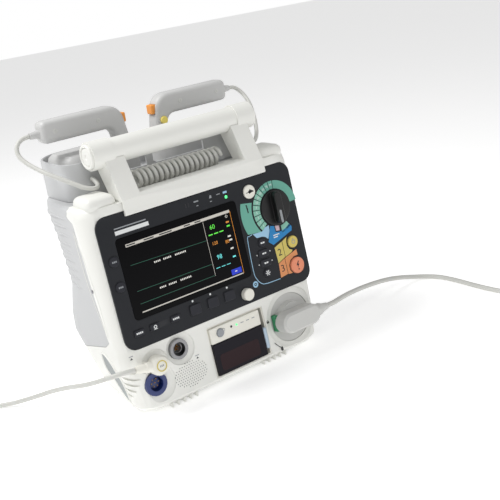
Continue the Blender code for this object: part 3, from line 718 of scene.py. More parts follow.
ECG_DIAMETER = 0.006
THERAPY_LENGTH = 2.0
THERAPY_DIAMETER = 0.007
PADDLE_LEAD_DIAMETER = 0.0055
CURLY_DIAMETER = 0.0054
CURLY_TURNS = 16.5


def wound_coil(node, diameter, length, start_turn, way, layers, rows=3):
    """Turns that lie side by side and on each other, from the floor up, in metres."""
    low, high = (Vector(corner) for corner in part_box(node))
    middle = (low + high) / 2
    outer = (high.x - low.x) / 2 - diameter / 2 - 0.0006
    inner = outer - diameter * rows
    points = []
    run, turn = 0.0, 0.0
    per_turn = 36
    while run < length and turn < rows * layers:
        share = turn / rows
        layer = math.floor(share)
        within = share - layer
        inwards = within if layer % 2 == 0 else 1 - within
        radius = outer + (inner - outer) * inwards
        climb = min(1.0, max(0.0, (within - (1 - 0.35 / rows)) / (0.35 / rows)))
        climb = climb * climb * (3 - 2 * climb)
        angle = start_turn + way * 2 * math.pi * turn
        height = diameter / 2 + 0.0002 + diameter * 1.01 * (layer + climb)
        points.append(Vector((middle.x + radius * math.cos(angle),
                              middle.y + radius * math.sin(angle), height)))
        if len(points) > 1:
            run += (points[-1] - points[-2]).length
        turn += 1 / per_turn
    return points


def lead_curve(name, points, diameter):
    curve = bpy.data.curves.new(name, "CURVE")
    curve.dimensions = "3D"
    curve.bevel_depth = diameter / 2
    curve.bevel_resolution = 5
    curve.use_fill_caps = True
    spline = curve.splines.new("POLY")
    spline.points.add(len(points) - 1)
    for point, where in zip(spline.points, points):
        point.co = (*where, 1.0)
    spline.use_smooth = True
    curve.materials.append(FINISH["lead_grey"])
    made = bpy.data.objects.new(name, curve)
    bpy.context.scene.collection.objects.link(made)
    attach(made, "root")
    return made


def coiled_lead(name, route, coil, diameter, length, start_turn, way, layers, nodes):
    """A free lead: along its route, then the rest of its length wound up."""
    rest = length - length_of(smooth_curve(route))
    turns = wound_coil(coil, diameter, rest, start_turn, way, layers)
    run = smooth_curve(list(route) + [turns[1], turns[4], turns[7], turns[10]])
    made = lead_curve(name, run[:-16] + turns[4:], diameter)
    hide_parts(*nodes)


def paddle_lead(side, route):
    """The stretch of a paddle's lead that shows between its grip and the tray."""
    points = smooth_curve(route, 6)
    shape = sweep([p / MM for p in points], PADDLE_LEAD_DIAMETER / 2 / MM, 14)
    made = piece(f"{side}_paddle_cord", shape, "lead_grey", smooth=60)
    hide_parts(f"{side}_paddle_lead")
    made.parent = None
    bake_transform(made)


def curly_lead():
    """The paddles' shared lead, wound as a tight spring in the channel under the handle."""
    low, high = (Vector(corner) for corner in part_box("curly_cord"))
    middle = (low + high) / 2
    radius = (high.z - low.z) / 2 - CURLY_DIAMETER / 2
    span = high.x - low.x - CURLY_DIAMETER - 0.001
    steps = round(CURLY_TURNS * 20)
    points = []
    for i in range(steps + 1):
        angle = 2 * math.pi * CURLY_TURNS * i / steps
        points.append(Vector((middle.x - span / 2 + span * i / steps,
                              middle.y + radius * math.cos(angle),
                              middle.z + radius * math.sin(angle))))
    made = lead_curve("curly_lead", points, CURLY_DIAMETER)
    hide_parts("curly_cord")


def make_leads():
    yoke = refined("ecg_yoke", "plug_grey", 1.2)
    connector = refined("pads_connector", "plug_grey", 1.2)
    ecg_plug = refined("ecg_plug", "cream_plastic", 0.7)
    therapy_plug = refined("therapy_plug", "plug_grey", 1.0)
    coiled_lead("ecg_cable", ECG_ROUTE, "ecg_coil", ECG_DIAMETER, ECG_LENGTH,
                math.radians(2), -1, 3, ("ecg_lead", "ecg_coil"))
    coiled_lead("therapy_cable", THERAPY_ROUTE, "therapy_coil", THERAPY_DIAMETER,
                THERAPY_LENGTH, math.radians(192), 1, 2, ("therapy_lead", "therapy_coil"))
    paddle_lead("left", LEFT_LEAD_ROUTE)
    paddle_lead("right", RIGHT_LEAD_ROUTE)
    curly_lead()


# ---------------------------------------------------------------- floor, light, camera
CAMERA_AT = (-0.5773, -0.9795, 0.5136)
CAMERA_HEADING = math.radians(35.06)     # from +Y towards +X
CAMERA_DROP = math.radians(18.0)
CAMERA_ROLL = math.radians(-8.37)
CAMERA_LENS = 64.8
LIT_BY_WORLD = 0.45                      # its strength on the object; the eye sees 1


def make_camera():
    forward = Vector((math.sin(CAMERA_HEADING) * math.cos(CAMERA_DROP),
                      math.cos(CAMERA_HEADING) * math.cos(CAMERA_DROP),
                      -math.sin(CAMERA_DROP)))
    level = Vector((math.cos(CAMERA_HEADING), -math.sin(CAMERA_HEADING), 0))
    above = level.cross(forward)
    right = level * math.cos(CAMERA_ROLL) + above * math.sin(CAMERA_ROLL)
    data = bpy.data.cameras.new("camera")
    data.lens = CAMERA_LENS
    data.sensor_width = 36.0
    data.dof.use_dof = False
    camera = bpy.data.objects.new("camera", data)
    bpy.context.scene.collection.objects.link(camera)
    camera.matrix_world = Matrix((right, right.cross(forward), -forward)).transposed().to_4x4()
    camera.location = CAMERA_AT
    bpy.context.scene.camera = camera


def area_light(name, at, aim, size, power, tint=(1, 1, 1)):
    data = bpy.data.lights.new(name, "AREA")
    data.shape = "DISK"
    data.size = size
    data.energy = power
    data.color = tint
    lamp = bpy.data.objects.new(name, data)
    bpy.context.scene.collection.objects.link(lamp)
    lamp.location = at
    lamp.rotation_euler = (Vector(aim) - Vector(at)).to_track_quat("-Z", "Y").to_euler()


def make_stage():
    shape = bmesh.new()
    bmesh.ops.create_grid(shape, x_segments=1, y_segments=1, size=6.0)
    bmesh.ops.translate(shape, vec=(0, 0, -0.0002), verts=shape.verts)
    mesh = bpy.data.meshes.new("floor")
    shape.to_mesh(mesh)
    shape.free()
    floor = bpy.data.objects.new("floor", mesh)
    bpy.context.scene.collection.objects.link(floor)
    mesh.materials.append(ink("floor_white", (252, 252, 252), 0.9, 0.36))
    world = bpy.data.worlds.new("studio")
    world.use_nodes = True
    tree = world.node_tree
    backdrop = tree.nodes["Background"]
    backdrop.inputs["Color"].default_value = (1, 1, 1, 1)
    seen = tree.nodes.new("ShaderNodeLightPath").outputs["Is Camera Ray"]
    tree.links.new(mapped(tree, seen, LIT_BY_WORLD, 1.0), backdrop.inputs["Strength"])
    bpy.context.scene.world = world
    bpy.context.scene.view_settings.view_transform = "Standard"
    area_light("key", (-0.75, 0.45, 1.5), (0, 0, 0.15), 0.6, 17.0)
    area_light("front", (-0.5, -1.5, 1.5), (0, 0, 0.15), 1.2, 6.5)
    area_light("right_fill", (1.4, -0.9, 0.9), (0, 0, 0.15), 1.0, 1.5)


# ---------------------------------------------------------------- control panel
DIAL = spot("energy_dial")
ECG_PLUG_AT = (-114.0, -109.0)
RING_INNER, RING_OUTER = 25.2, 36.0
STEP_START, STEP_END, STEPS = 222.0, 84.0, 11
LEVELS = ("1", "2", "3", "5", "7", "10", "20", "30", "50", "70", "99")


def top_of(node):
    """How far a node stands out of the face."""
    back = FACE.inverted()
    return max((back @ (vert.co / MM)).z for vert in frame["nodes"][node].data.vertices)


def around(radius, angle):
    a = math.radians(angle)
    return DIAL[0] + radius * math.cos(a), DIAL[1] + radius * math.sin(a)


def print_dial_ring(marks):
    step = (STEP_END - STEP_START) / STEPS
    for i, level in enumerate(LEVELS):
        start = STEP_START + i * step
        finish = "ink_teal_pale" if i < 8 else "ink_teal"
        marks.sector(finish, DIAL, RING_INNER, RING_OUTER, start - 0.9, start + step + 0.9)
        marks.figure("ink_white", level, 4.2, *around(30.6, start + step / 2))
    marks.sector("ink_teal", DIAL, RING_INNER, RING_OUTER, STEP_END - 0.9, 3)
    band = arc(*DIAL, 56, 160, 203, 10) + arc(*DIAL, 38.6, 219, 155, 14)
    marks.area("ink_teal", band)
    marks.figure("ink_black", "1", 16, 66.8, 33.6, turn=4)
    marks.bar("ink_black", 66.6, 68.2, 28.6, 38.4)
    sky = [(66.5, 0.6), (81.5, -0.3), (84.3, 1.2), (87.5, 3.5), (94.6, 4.8), (93.5, -3),
           (89.0, -12.4), (85.0, -8.4), (80.2, -6.6), (75.5, -6.4), (71.4, -6.0)]
    marks.area("ink_sky", sky)
    blue = [(96.2, 3.0), (88.4, -16.6), (95.2, -22.6), (129.2, -12.2), (130.4, -6.8),
            (127.4, -2.6), (120.0, -6.6), (111.5, -8.6), (103.0, -7.2), (102.4, 1.3)]
    marks.area("ink_blue", blue)
    marks.area("ink_pink", [(104.0, 1.2), (110.6, -0.4), (110.0, -6.8), (104.2, -5.8)])
    cell = arc(*DIAL, 34.5, 274, 302, 7) + arc(*DIAL, 25.2, 300, 276, 6)
    marks.area("ink_teal_pale", cell)
    for width, y in ((10, -10.6), (7, -13.4)):
        marks.bar("ink_white", 98, 98 + width, y - 0.7, y + 0.7, 1)


def print_zones(marks):
    """The two stepped colour zones that lead to the charge and shock keys."""
    marks.area("ink_yellow", [(95.6, -26.6), (109.0, -22.0), (109.2, -43.4), (96.6, -48.2)])
    marks.area("ink_yellow", [(109.9, -21.8), (119.0, -18.2), (117.6, -19.6), (116.2, -24.6),
                              (116.0, -30.0), (118.6, -35.2), (123.6, -38.0), (121.0, -40.4),
                              (109.9, -43.6)])
    marks.area("ink_amber", [(96.6, -49.0), (107.6, -45.0), (107.8, -66.6), (95.4, -68.0)])
    marks.area("ink_amber", [(108.4, -44.8), (129.8, -38.8), (130.2, -46.6), (123.0, -47.0),
                             (116.4, -50.4), (112.6, -56.6), (113.0, -63.4), (116.2, -67.8),
                             (108.6, -67.2)])
    for node, radius in (("charge_key", 9.3), ("shock_key", 12.2)):
        marks.ring("ink_black", spot(node), radius - 0.5, radius)
    for text, x, y in (("2", 102.4, -35.2), ("3", 101.8, -57.2)):
        marks.figure("ink_black", text, 13.5, x, y, turn=2)


def print_panel():
    marks = Printing("panel", FACE)
    print_dial_ring(marks)
    print_zones(marks)
    # Line that frames the column of small keys.
    outline = [(65.6, 0.4), (60.6, -0.8), (56.8, -4.6), (54.8, -46.0), (57.2, -57.4)]
    outline += [(62.6, -64.8), (70.5, -67.8), (94.0, -68.8)]
    marks.line("ink_sky", smooth_curve([(x, y, 0) for x, y in outline], 5), 0.9)
    # Two plain strips where a name plate would be.
    marks.bar("ink_grey", -122.5, -79, 61.8, 63.2)
    marks.bar("ink_white", -122.5, -76.4, 54.8, 59.6)
    for x0, x1, y in ((-5.8, -3.2, 58.6), (14.8, 17.8, 58.4), (26.0, 31.6, 64.4)):
        marks.bar("ink_grey", x0, x1, y - 0.5, y + 0.5)
    marks.bar("ink_sky", 36.2, 42.2, 62.9, 65.4)
    marks.bar("ink_grey", -8.6, -1.8, 63.4, 65.0)
    marks.area("ink_grey", [(14.6, 62.6), (18.4, 62.6), (18.4, 65.6), (16.5, 66.6)])
    for x in (-20.8, -16.8):
        marks.bar("ink_black", x - 0.8, x + 0.8, 60.0, 65.2)
    marks.disc("lit_green", 39.6, 57.9, 2.0)
    for node in ("soft_key_1", "soft_key_2", "soft_key_3"):
        marks.disc("ink_white", spot(node)[0] - 1.2, -53.0, 1.35)
    marks.ring("ink_sky", (53.4, -63.4), 2.1, 4.2)
    marks.disc("ink_sky", 53.4, -63.4, 1.0)
    for number in (2, 3):
        x, y = spot(f"pad_key_{number}")
        for side in (-1, 1):
            marks.area("ink_white", [(x + side * 10.2, y - 1.1), (x + side * 12.0, y),
                                     (x + side * 10.2, y + 1.1)][::side])
    marks.make()


def key_marks(node, label=None):
    """A key's middle, and the marks that ride on it."""
    return *spot(node), Printing(label or f"{node}_sign", FACE, BODY_OF[node], top_of(node))


def print_keys():
    """Small generic signs on the keys, each on its key's own body."""
    for number in (1, 2, 3):
        x, y, mark = key_marks(f"menu_key_{number}")
        if number == 2:
            mark.ring("ink_white", (x, y), 1.2, 2.3)
            mark.bar("ink_white", x - 2.6, x + 2.6, y - 3.2, y - 2.5)
        else:
            mark.dashes("ink_white", x - 4.6, y, 4, 2.4, 1.8, -1.1, 1.1)
        mark.make()
    for number in (1, 2):
        x, y, mark = key_marks(f"side_key_{number}")
        mark.dashes("ink_grey", x - 3.1, y, 3, 2.2, 1.6)
        mark.make()
    for number in (1, 2, 3):
        x, y, mark = key_marks(f"pad_key_{number}")
        mark.dashes("ink_white", x - 3.2, y, 2, 3.4, 2.8)
        mark.make()
    x, y, mark = key_marks("pad_key_4")
    for dot_x, dot_y in arc(x, y, 2.9, 0, 300, 5):
        mark.disc("ink_white", dot_x, dot_y, 0.8)
    mark.ring("ink_white", (x, y), 0.8, 1.8)
    mark.make()
    x, y, mark = key_marks("sync_key")
    beat = [(-6, -0.5), (-2.8, -0.5), (-1.8, 1.2), (-0.8, -2.6), (0.6, 3.4), (1.9, -1.6),
            (2.8, -0.5), (6, -0.5)]
    mark.line("ink_black", [(x + a, y + b) for a, b in beat], 0.8)
    mark.make()
    x, y, mark = key_marks("charge_key")
    mark.sector("ink_grey", (x, y), 2.0, 3.0, 120, 420)
    mark.bar("ink_grey", x - 0.6, x + 0.6, y + 1.0, y + 4.4)
    mark.make()
    x, y, mark = key_marks("shock_key")
    bolt = [(1.0, 5.6), (-2.6, 0.2), (-0.3, 0.2), (-1.2, -3.4), (2.4, 1.6), (0.4, 1.6),
            (2.6, 5.6)]
    mark.area("ink_black", [(x + a, y + b) for a, b in bolt][::-1])
    mark.disc("ink_black", x + 0.2, y - 5.4, 1.0)
    mark.make()
    x, y, mark = key_marks("energy_dial", "dial_pointer")
    mark.area("ink_grey", rounded(3.6, 17, 1.7, 4, x - 1.5, y - 11.0))
    mark.make()


def print_screen():
    marks = Printing("screen", FACE, base=top_of("display_window"))
    left, right = -113.5, 39.0
    marks.bar("screen_bar", left, right, 37.8, 41.4)
    marks.bar("screen_bar", left, right, -43.6, -42.2)
    marks.bar("screen_amber", 39.4, 39.9, -43.0, 40.0)
    marks.bar("screen_bar", -3.1, -2.6, -33.0, 36.6)
    for start, width in ((-112.5, 12), (-88.5, 14), (-66.5, 18), (-30.5, 9), (-14.5, 9)):
        marks.bar("ink_black", start, start + width, 38.9, 40.3, 1)
    for y_start, y_end in ((15.6, 13.2), (-16.7, -17.6), (-32.5, -32.5)):
        marks.line("screen_deep", [(left, y_start), (-4.0, y_end)], 0.6)
    for y, start in ((9.8, -82), (-22.4, -83)):
        for along, count in ((0, 4), (13, 5), (30, 7)):
            marks.dashes("screen_pale", start + along, y, count, 2.4, 1.5, -1.0, 1.1)
    marks.dashes("screen_green", 1, 17.6, 3, 8.4, 6.4, 0, 1.3)
    marks.dashes("screen_cyan", 1, -25.2, 3, 8.2, 6.0, 0, 0.8)
    for finish, text, size, x, y in (
            ("screen_green", "60", 8, 9, 27.0), ("screen_amber", "120", 6, 7.4, 6.4),
            ("screen_amber", "80", 6, 26.0, 3.0), ("screen_cyan", "98", 8, 9.5, -12.0)):
        marks.figure(finish, text, size, x, y, 0)
    for x, y, finish in ((33, 27, "screen_amber"), (33, 22, "screen_green"),
                         (31, 9, "screen_pale"), (32, 4, "screen_pale"),
                         (31, -7, "screen_pale"), (31.5, -18, "screen_cyan")):
        marks.bar(finish, x - 2.6, x + 2.0, y - 1.0, y + 1.0)
    marks.bar("screen_blue", 21.6, 37.4, -40.8, -33.6)
    marks.bar("screen_pale", 27.2, 30.4, -37.6, -36.4, 1)
    marks.line("screen_pale", [(31, 34.4), (33, 36.2), (35, 34.4), (33, 32.6), (31, 34.4)], 0.6)
    marks.make()


# ---------------------------------------------------------------- casing details
def ring_cut(at, inner, outer, depth):
    """A shallow scoop round a socket: wide at the face, narrow at its floor."""
    x, y = at
    profile = [(0, -depth), (inner, -depth)]
    for step in range(1, 7):
        a = math.radians(90 * step / 6)
        profile.append((inner + (outer - inner) * math.sin(a), -depth * math.cos(a)))
    profile += [(outer, 6.0), (0, 6.0)]
    return moved(shifted(turned(profile, 64), x, y), FACE)


CORNER_AXIS_X = 124.0
LOUVRES = [(60.5, 238), (52.0, 244), (44.0, 240), (36.0, 228), (28.0, 214)]


def louvre_cut(side, z, end_angle):
    """A slot that wraps round a lower front corner, as a bent bar to cut away."""
    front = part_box("front_casing")[0][1] / MM
    axis = Vector((side * CORNER_AXIS_X, front + 34, z))
    rings = []
    for step in range(13):
        angle = 178 + (end_angle - 178) * step / 12
        a = math.radians(angle)
        way = Vector((-side * math.cos(a), math.sin(a), 0))
        hit = on_skin(axis + way * 90, -way)
        if hit is None:
            continue
        where, normal = hit
        normal = Vector((normal.x, normal.y, 0)).normalized()
        share = math.sin(math.pi * step / 12) ** 0.5
        half = 0.3 + 1.5 * share
        deep = 0.5 + 2.0 * share
        rings.append([where + normal * out + Vector((0, 0, up))
                      for out, up in ((4, -half), (4, half), (-deep, half), (-deep, -half))])
    return loft(rings)


def speaker_spots():
    """Centres of the perforations over the speaker, inside a soft-cornered oval."""
    x0, y0 = spot("speaker")
    pitch, across, tall = 3.5, 23.0, 15.5
    spots = []
    for row in range(-5, 6):
        for column in range(-8, 9):
            x = (column + 0.5 * (row % 2)) * pitch
            y = row * pitch * 0.87
            if abs(x / across) ** 2.6 + abs(y / tall) ** 2.6 < 1:
                spots.append((x0 + x, y0 + y))
    return spots


def speaker_holes():
    holes = [prism(arc(x, y, 0.8, 0, 315, 7), -1.6, 3) for x, y in speaker_spots()]
    return moved(merged(*holes), FACE)


def make_front():
    grey, blue = spot("grey_socket"), spot("blue_socket")
    therapy = spot("therapy_socket")
    scoops = [ring_cut((grey[0] + 2.5, grey[1] - 1.5), 12, 20.5, 3.4),
              ring_cut((blue[0] + 4.5, blue[1] - 3), 14, 23, 3.6),
              ring_cut(ECG_PLUG_AT, 13, 18.5, 2.4),
              ring_cut(therapy, 33, 41, 3.4)]
    slots = [louvre_cut(side, z, end) for side in (-1, 1) for z, end in LOUVRES]
    tools = scoops + [merged(*slots), speaker_holes()]
    refined("front_casing", "casing_white", 0.55, 30.0, "front_shell", tools)
    # Dark discs at the floors of the speaker holes: painted shade inside the holes.
    hole_floor_shade = prism(arc(0, 0, 0.72, 0, 315, 7), -1.55, -1.2)
    repeated("speaker_mesh", hole_floor_shade, [(x, y, 0) for x, y in speaker_spots()], "shadow_grey", FACE)


def skin_plate(name, outline, lay, direction, lift, sink, finish, rings=6, bevel=0.0):
    """A thin plate that follows the casing; lay turns (a, b) into a point outside it."""
    middle = Vector((sum(a for a, _ in outline), sum(b for _, b in outline))) / len(outline)
    shape = bmesh.new()
    tops, bottoms = [], []
    scales = [(rings - i) / rings for i in range(rings)]
    for scale in scales:
        upper, lower = [], []
        for a, b in outline:
            flat = middle + (Vector((a, b)) - middle) * scale
            hit = on_skin(lay(*flat), direction)
            if hit is None:
                return None
            where, normal = hit
            upper.append(shape.verts.new(where + normal * lift))
            lower.append(shape.verts.new(where - normal * sink))
        tops.append(upper)
        bottoms.append(lower)
    where, normal = on_skin(lay(*middle), direction)
    top_middle = shape.verts.new(where + normal * lift)
    low_middle = shape.verts.new(where - normal * sink)
    count = len(outline)
    for i in range(count):
        j = (i + 1) % count
        for rows, flip in ((tops, False), (bottoms, True)):
            for outer, inner in zip(rows, rows[1:]):
                corners = [outer[i], outer[j], inner[j], inner[i]]
                shape.faces.new(corners[::-1] if flip else corners)
            end = low_middle if flip else top_middle
            corners = [rows[-1][i], rows[-1][j], end]
            shape.faces.new(corners[::-1] if flip else corners)
        shape.faces.new((tops[0][j], tops[0][i], bottoms[0][i], bottoms[0][j]))
    return piece(name, shape, finish, smooth=40, bevel=bevel)


def skin_rim(name, outline, lay, direction, radius, finish):
    path = [on_skin(lay(a, b), direction)[0] for a, b in outline]
    return piece(name, sweep(path, radius, 8, True), finish, smooth=60)


def boat(start, end, half, blunt=0.85, steps=14):
    """A long pointed oval between two (y, z) points."""
    start, end = Vector(start), Vector(end)
    along = end - start
    across = Vector((-along.y, along.x)).normalized()
    one, other = [], []
    for i in range(steps + 1):
        t = i / steps
        width = half * math.sin(math.pi * t) ** blunt
        middle = start + along * t
        one.append(tuple(middle + across * width))
        other.append(tuple(middle - across * width))
    return one + other[-2:0:-1]


INSETS = {"side": (boat((-25, 234), (-53, 104), 8.5), 0.35, "inset", 0.55),
          "foot": (boat((-17, 73), (-60, 15), 13.5, 0.62), 0.3, "foot", 1.3)}
RIB_HEIGHTS = [157 + 11.2 * i for i in range(9)]


def make_sides():
    for side, label in ((-1, "left"), (1, "right")):
        def lay(y, z, side=side):
            return Vector((side * 200, y, z))
        way = Vector((-side, 0, 0))
        for kind, (outline, lift, edge, rim) in INSETS.items():
            skin_plate(f"{label}_{kind}_inset", outline, lay, way, lift, 0.8, "inset_grey")
            skin_rim(f"{label}_{edge}_edge", outline, lay, way, rim, "casing_white")
        ribs = []
        for z in RIB_HEIGHTS:
            path = []
            axis = Vector((side * 78.0, 18.0, z))
            for step in range(25):
                a = math.radians(-22 + 122 * step / 24)
                ray = Vector((side * math.cos(a), math.sin(a), 0))
                hit = on_skin(axis + ray * 150, -ray)
                if hit:
                    path.append(hit[0] - hit[1] * 0.5)
            taper = [0.4 + 1.5 * math.sin(math.pi * i / (len(path) - 1)) ** 0.45
                     for i in range(len(path))]
            ribs.append(sweep(path, lambda t, taper=taper: taper[round(t * (len(taper) - 1))], 8))
        piece(f"{label}_grip_ribs", merged(*ribs), "rear_grey", smooth=60)
        screw = turned([(0, 0), (2.3, 0), (2.3, 0.9), (1.7, 1.3), (0, 1.3)], 20)
        where, normal = on_skin((side * 200, -41.5, 162), (-side, 0, 0))
        stand = normal.to_track_quat("Z", "Y").to_matrix().to_4x4()
        piece(f"{label}_inset_screw", screw, "screw_steel", Matrix.Translation(where) @ stand)


def make_bottom_fins():
    """Short upright fins under the front edge, in front of the two feet."""
    fin = block((-1.4, 1.4), (-6, 6), (-3.4, 3.4))
    bmesh.ops.bevel(fin, geom=fin.edges[:], offset=0.6, segments=2, affect="EDGES")
    for label, x in (("left", -102.0), ("right", 43.0)):
        places = [(x + 9.2 * i, -85.5, 4.2) for i in range(5)]
        repeated(f"{label}_bottom_fins", fin.copy(), places, "casing_white")
    fin.free()


def behind(x, z):
    """The point on the rear casing straight behind (x, z)."""
    return on_skin((x, 200, z), (0, -1, 0))[0]


INLET_X, INLET_Z = -104, 96


def make_back():
    """Battery cover, vent slats, screws, inlet and a blank plate on the rear casing."""
    def lay(x, z):
        return Vector((x, 200, z))
    way = Vector((0, -1, 0))
    skin_plate("battery_cover", rounded(150, 66, 9, 5, 0, 128), lay, way, 1.4, 1.5,
               "rear_grey", 6, 0.5)
    skin_rim("battery_cover_seam", rounded(154, 70, 11, 5, 0, 128), lay, way, 0.4,
             "shadow_grey")
    skin_plate("battery_cover_grip", rounded(46, 9, 4, 5, 0, 152), lay, way, 2.1, 0.5,
               "inset_grey")
    skin_plate("blank_plate", rounded(70, 32, 3, 4, -52, 206), lay, way, 0.35, 0.6,
               "ink_grey")
    slats = [(x, behind(x, 206).y + 0.1, 206) for x in range(26, 83, 7)]
    slat = block((-1.6, 1.6), (-0.7, 0.9), (-17, 17))
    bmesh.ops.bevel(slat, geom=slat.edges[:], offset=0.65, segments=2, affect="EDGES")
    repeated("rear_vent_slats", slat, slats, "shadow_grey")
    backwards = Matrix.Rotation(math.radians(-90), 4, "X")
    head = turned([(0, -0.6), (3.2, -0.6), (3.2, 0.6), (2.5, 1.1), (1.2, 1.1), (1.2, 0.5),
                   (0, 0.5)], 24)
    screws = [(x, behind(x, z).y, z) for x in (-84, 84) for z in (100, 240)]
    repeated("rear_screws", moved(head, backwards), screws, "screw_steel")
    depth = behind(INLET_X, INLET_Z).y
    stand = Matrix.Translation((INLET_X, depth - 0.5, INLET_Z)) @ backwards
    made = piece("power_inlet", cushion(27, 19, 3, -1, 3.4, 0.8), "rubber_dark", stand)
    hollowed(made, cushion(22, 14, 2, 0, 9, 0.2), stand @ Matrix.Translation((0, 0, 1.2)))
    pins = [(INLET_X + dx, depth + 1.4, INLET_Z + dz) for dx, dz in ((-6, -2), (6, -2), (0, 2.5))]
    repeated("inlet_pins", block((-0.9, 0.9), (-1.6, 1.4), (-2, 2)), pins, "contact_brass")


def print_front():
    marks = Printing("front", FACE)
    x, y = spot("therapy_socket")
    marks.line("ink_black", arc(x, y, 43.6, 214, 232, 6), 0.9)
    tip = arc(x, y, 43.6, 232, 236, 1)
    marks.area("ink_black", [(tip[1][0], tip[1][1]), (tip[0][0] - 1.6, tip[0][1] - 1.8),
                             (tip[0][0] + 1.4, tip[0][1] + 2.0)])
    for px, py in ((58.6, -118), (71.8, -161.2)):
        marks.bar("ink_black", px - 1.8, px + 1.8, py - 1.2, py + 1.2)
        marks.sector("ink_black", (px, py + 1.3), 0.9, 1.5, 0, 180)
    for px, py in ((-143.0, -92.6), (-56.0, -124.0)):
        marks.area("ink_black", [(px - 1.8, py), (px + 1.8, py), (px, py + 2.4)])
        marks.bar("ink_grey", px - 2.8, px + 2.8, py + 3.6, py + 4.6)
    marks.make()


def make_socket_pins():
    """Contacts inside the two round sockets, the grey one's sleeve and the blue one's insert."""
    def six_and_one(node, radius, height):
        x, y = spot(node)
        return [(*at, height) for at in arc(x, y, radius, 0, 300, 5) + [(x, y)]]

    pin = [(0, 0), (0.75, 0), (0.75, 5.2), (0.4, 5.8), (0, 5.8)]
    for node, floor_depth, ring in (("grey_socket", -12, 3.2), ("blue_socket", -10, 5.2)):
        repeated(node + "_pins", turned(pin, 12), six_and_one(node, ring, floor_depth),
                 "contact_brass", FACE)
    sleeve = [(5.0, -12), (6.4, -12), (6.4, -2.4), (5.6, -1.8), (5.0, -2.4)]
    insert = [(0, -9.9), (6.9, -9.9), (6.9, -5.6), (6.2, -5.2), (0, -5.2)]
    for node, kind, profile, finish in (("grey_socket", "sleeve", sleeve, "socket_metal"),
                                        ("blue_socket", "insert", insert, "socket_navy")):
        piece(f"{node}_{kind}", shifted(turned(profile, 40), *spot(node)), finish, FACE)
    # Dark discs on the blue socket's insert stand for its pin holes: painted shade of holes that are not cut.
    hole = turned([(0, 0), (1.1, 0), (1.1, 0.25), (0, 0.25)], 14)
    repeated("blue_socket_holes", hole, six_and_one("blue_socket", 4.2, -5.3), "pin_dark", FACE)


def print_ecg_plug():
    """The ring and the small sign on the round plug's face."""
    x, y = ECG_PLUG_AT
    marks = Printing("ecg_plug", FACE, base=top_of("ecg_plug"))
    marks.ring("ink_yellow", (x, y), 5.6, 7.0)
    marks.dashes("ink_grey", x - 2.6, y, 3, 2.0, 1.2, -1.2, 1.2)
    marks.make()


def make_handle_caps():
    """Discs in the dished ends of the carry handle."""
    low, high = (Vector(corner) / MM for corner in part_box("handle_tube"))
    middle = (low + high) / 2
    cap = [(0, -1.6), (10.9, -1.6), (10.9, -0.4), (10.1, 0.3), (3.2, 0.3), (2.6, -0.4), (0, -0.4)]
    for side, label in ((-1, "left"), (1, "right")):
        end = high.x if side > 0 else low.x
        out = Matrix.Rotation(math.radians(90 * side), 4, "Y")
        stand = Matrix.Translation((end - side * 0.9, middle.y, middle.z)) @ out
        piece(f"{label}_handle_cap", turned(cap, 40), "casing_white", stand)


def make_paddle_details():
    """Screw plugs on the front of each paddle's grip."""
    plug = [(0, -1.2), (3.1, -1.2), (3.1, 0.25), (2.6, 0.5), (1.0, 0.5), (0.8, 0.1), (0, 0.1)]
    forwards = Matrix.Rotation(math.radians(90), 4, "X")
    for side, label in ((-1, "left"), (1, "right")):
        node = f"{label}_paddle"
        skin = surface_of(node)
        for number, x in enumerate((122, 62), 1):
            where = skin.ray_cast(Vector((side * x, -200, 344)), Vector((0, 1, 0)))[0]
            piece(f"{label}_grip_plug_{number}", turned(plug, 24), "plug_grey",
                  Matrix.Translation(where) @ forwards, BODY_OF[node])


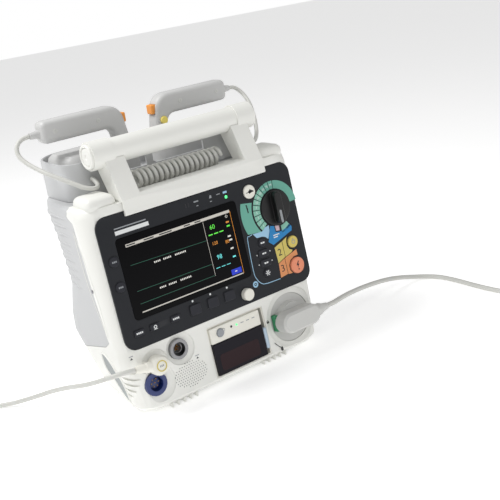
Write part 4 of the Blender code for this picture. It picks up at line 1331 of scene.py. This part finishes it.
def make_printer_marks():
    """Signs on the strip above the printer's door, and the door's tint."""
    marks = Printing("printer", FACE, base=top_of("printer_fascia"))
    marks.ring("ink_grey", (-11.4, -102.1), 1.6, 2.2)
    marks.disc("ink_black", 0.7, -102.2, 1.6)
    marks.disc("lit_green", 9.2, -102.5, 1.4)
    marks.dashes("ink_grey", 15.6, -103.1, 3, 9, 4.8, 0, 1)
    marks.make()
    tint = Printing("printer_door", FACE, BODY_OF["printer_door"], top_of("printer_door"))
    tint.area("printer_tint", rounded(62, 22, 4, 5, 5, -142))
    tint.make()


# ---------------------------------------------------------------- everything together
NODE_FINISH = {
    "window_glass": "display_window",
    "key_grey": "soft_key_1 soft_key_2 soft_key_3 menu_key_1 menu_key_2 menu_key_3 "
                "side_key_1 side_key_2 pad_key_1 pad_key_2 pad_key_3 pad_key_4",
    "cream_plastic": "sync_key jog_knob printer_fascia printer_housing",
    "shock_orange": "shock_key",
    "paddle_orange": "left_shock_key right_shock_key",
    "charge_yellow": "charge_key",
    "paddle_yellow": "paddle_charge_key",
    "release_green": "therapy_release",
    "socket_navy": "blue_socket",
    "socket_metal": "grey_socket hv_capacitor lcd_module",
    "electrode_steel": "left_electrode right_electrode",
    "printer_smoke": "printer_door",
    "latch_blue": "printer_latch",
    "circuit_board": "main_board power_board",
    "battery_cell": "battery_pack",
    "paper": "paper_roll",
    "rubber_dark": "base_foot platen_roller speaker",
    "knob_black": "energy_dial",
    "plug_grey": "therapy_socket",
    "paddle_grey": "left_paddle right_paddle",
    "ink_grey": "print_key",
    "casing_white": "handle_frame handle_tube",
    "rear_grey": "rear_casing paddle_tray",
    "panel_black": "control_panel",
}
# Nodes that keep their plain mesh: those inside the shells, and the flat window.
SEALED = set("hv_capacitor lcd_module main_board power_board battery_pack paper_roll "
             "platen_roller speaker display_window".split())


def make_plain_nodes():
    """Every node that has no piece of its own gets eased edges, or just its finish."""
    for finish, nodes in NODE_FINISH.items():
        for node in nodes.split():
            if node in SEALED:
                mesh = frame["nodes"][node].data
                mesh.materials.clear()
                mesh.materials.append(FINISH[finish])
            else:
                refined(node, finish)


make_camera()
make_stage()
make_leads()
make_front()
make_plain_nodes()
print_panel()
print_keys()
print_screen()
print_front()
print_ecg_plug()
make_socket_pins()
make_sides()
make_bottom_fins()
make_back()
make_handle_caps()
make_paddle_details()
make_printer_marks()
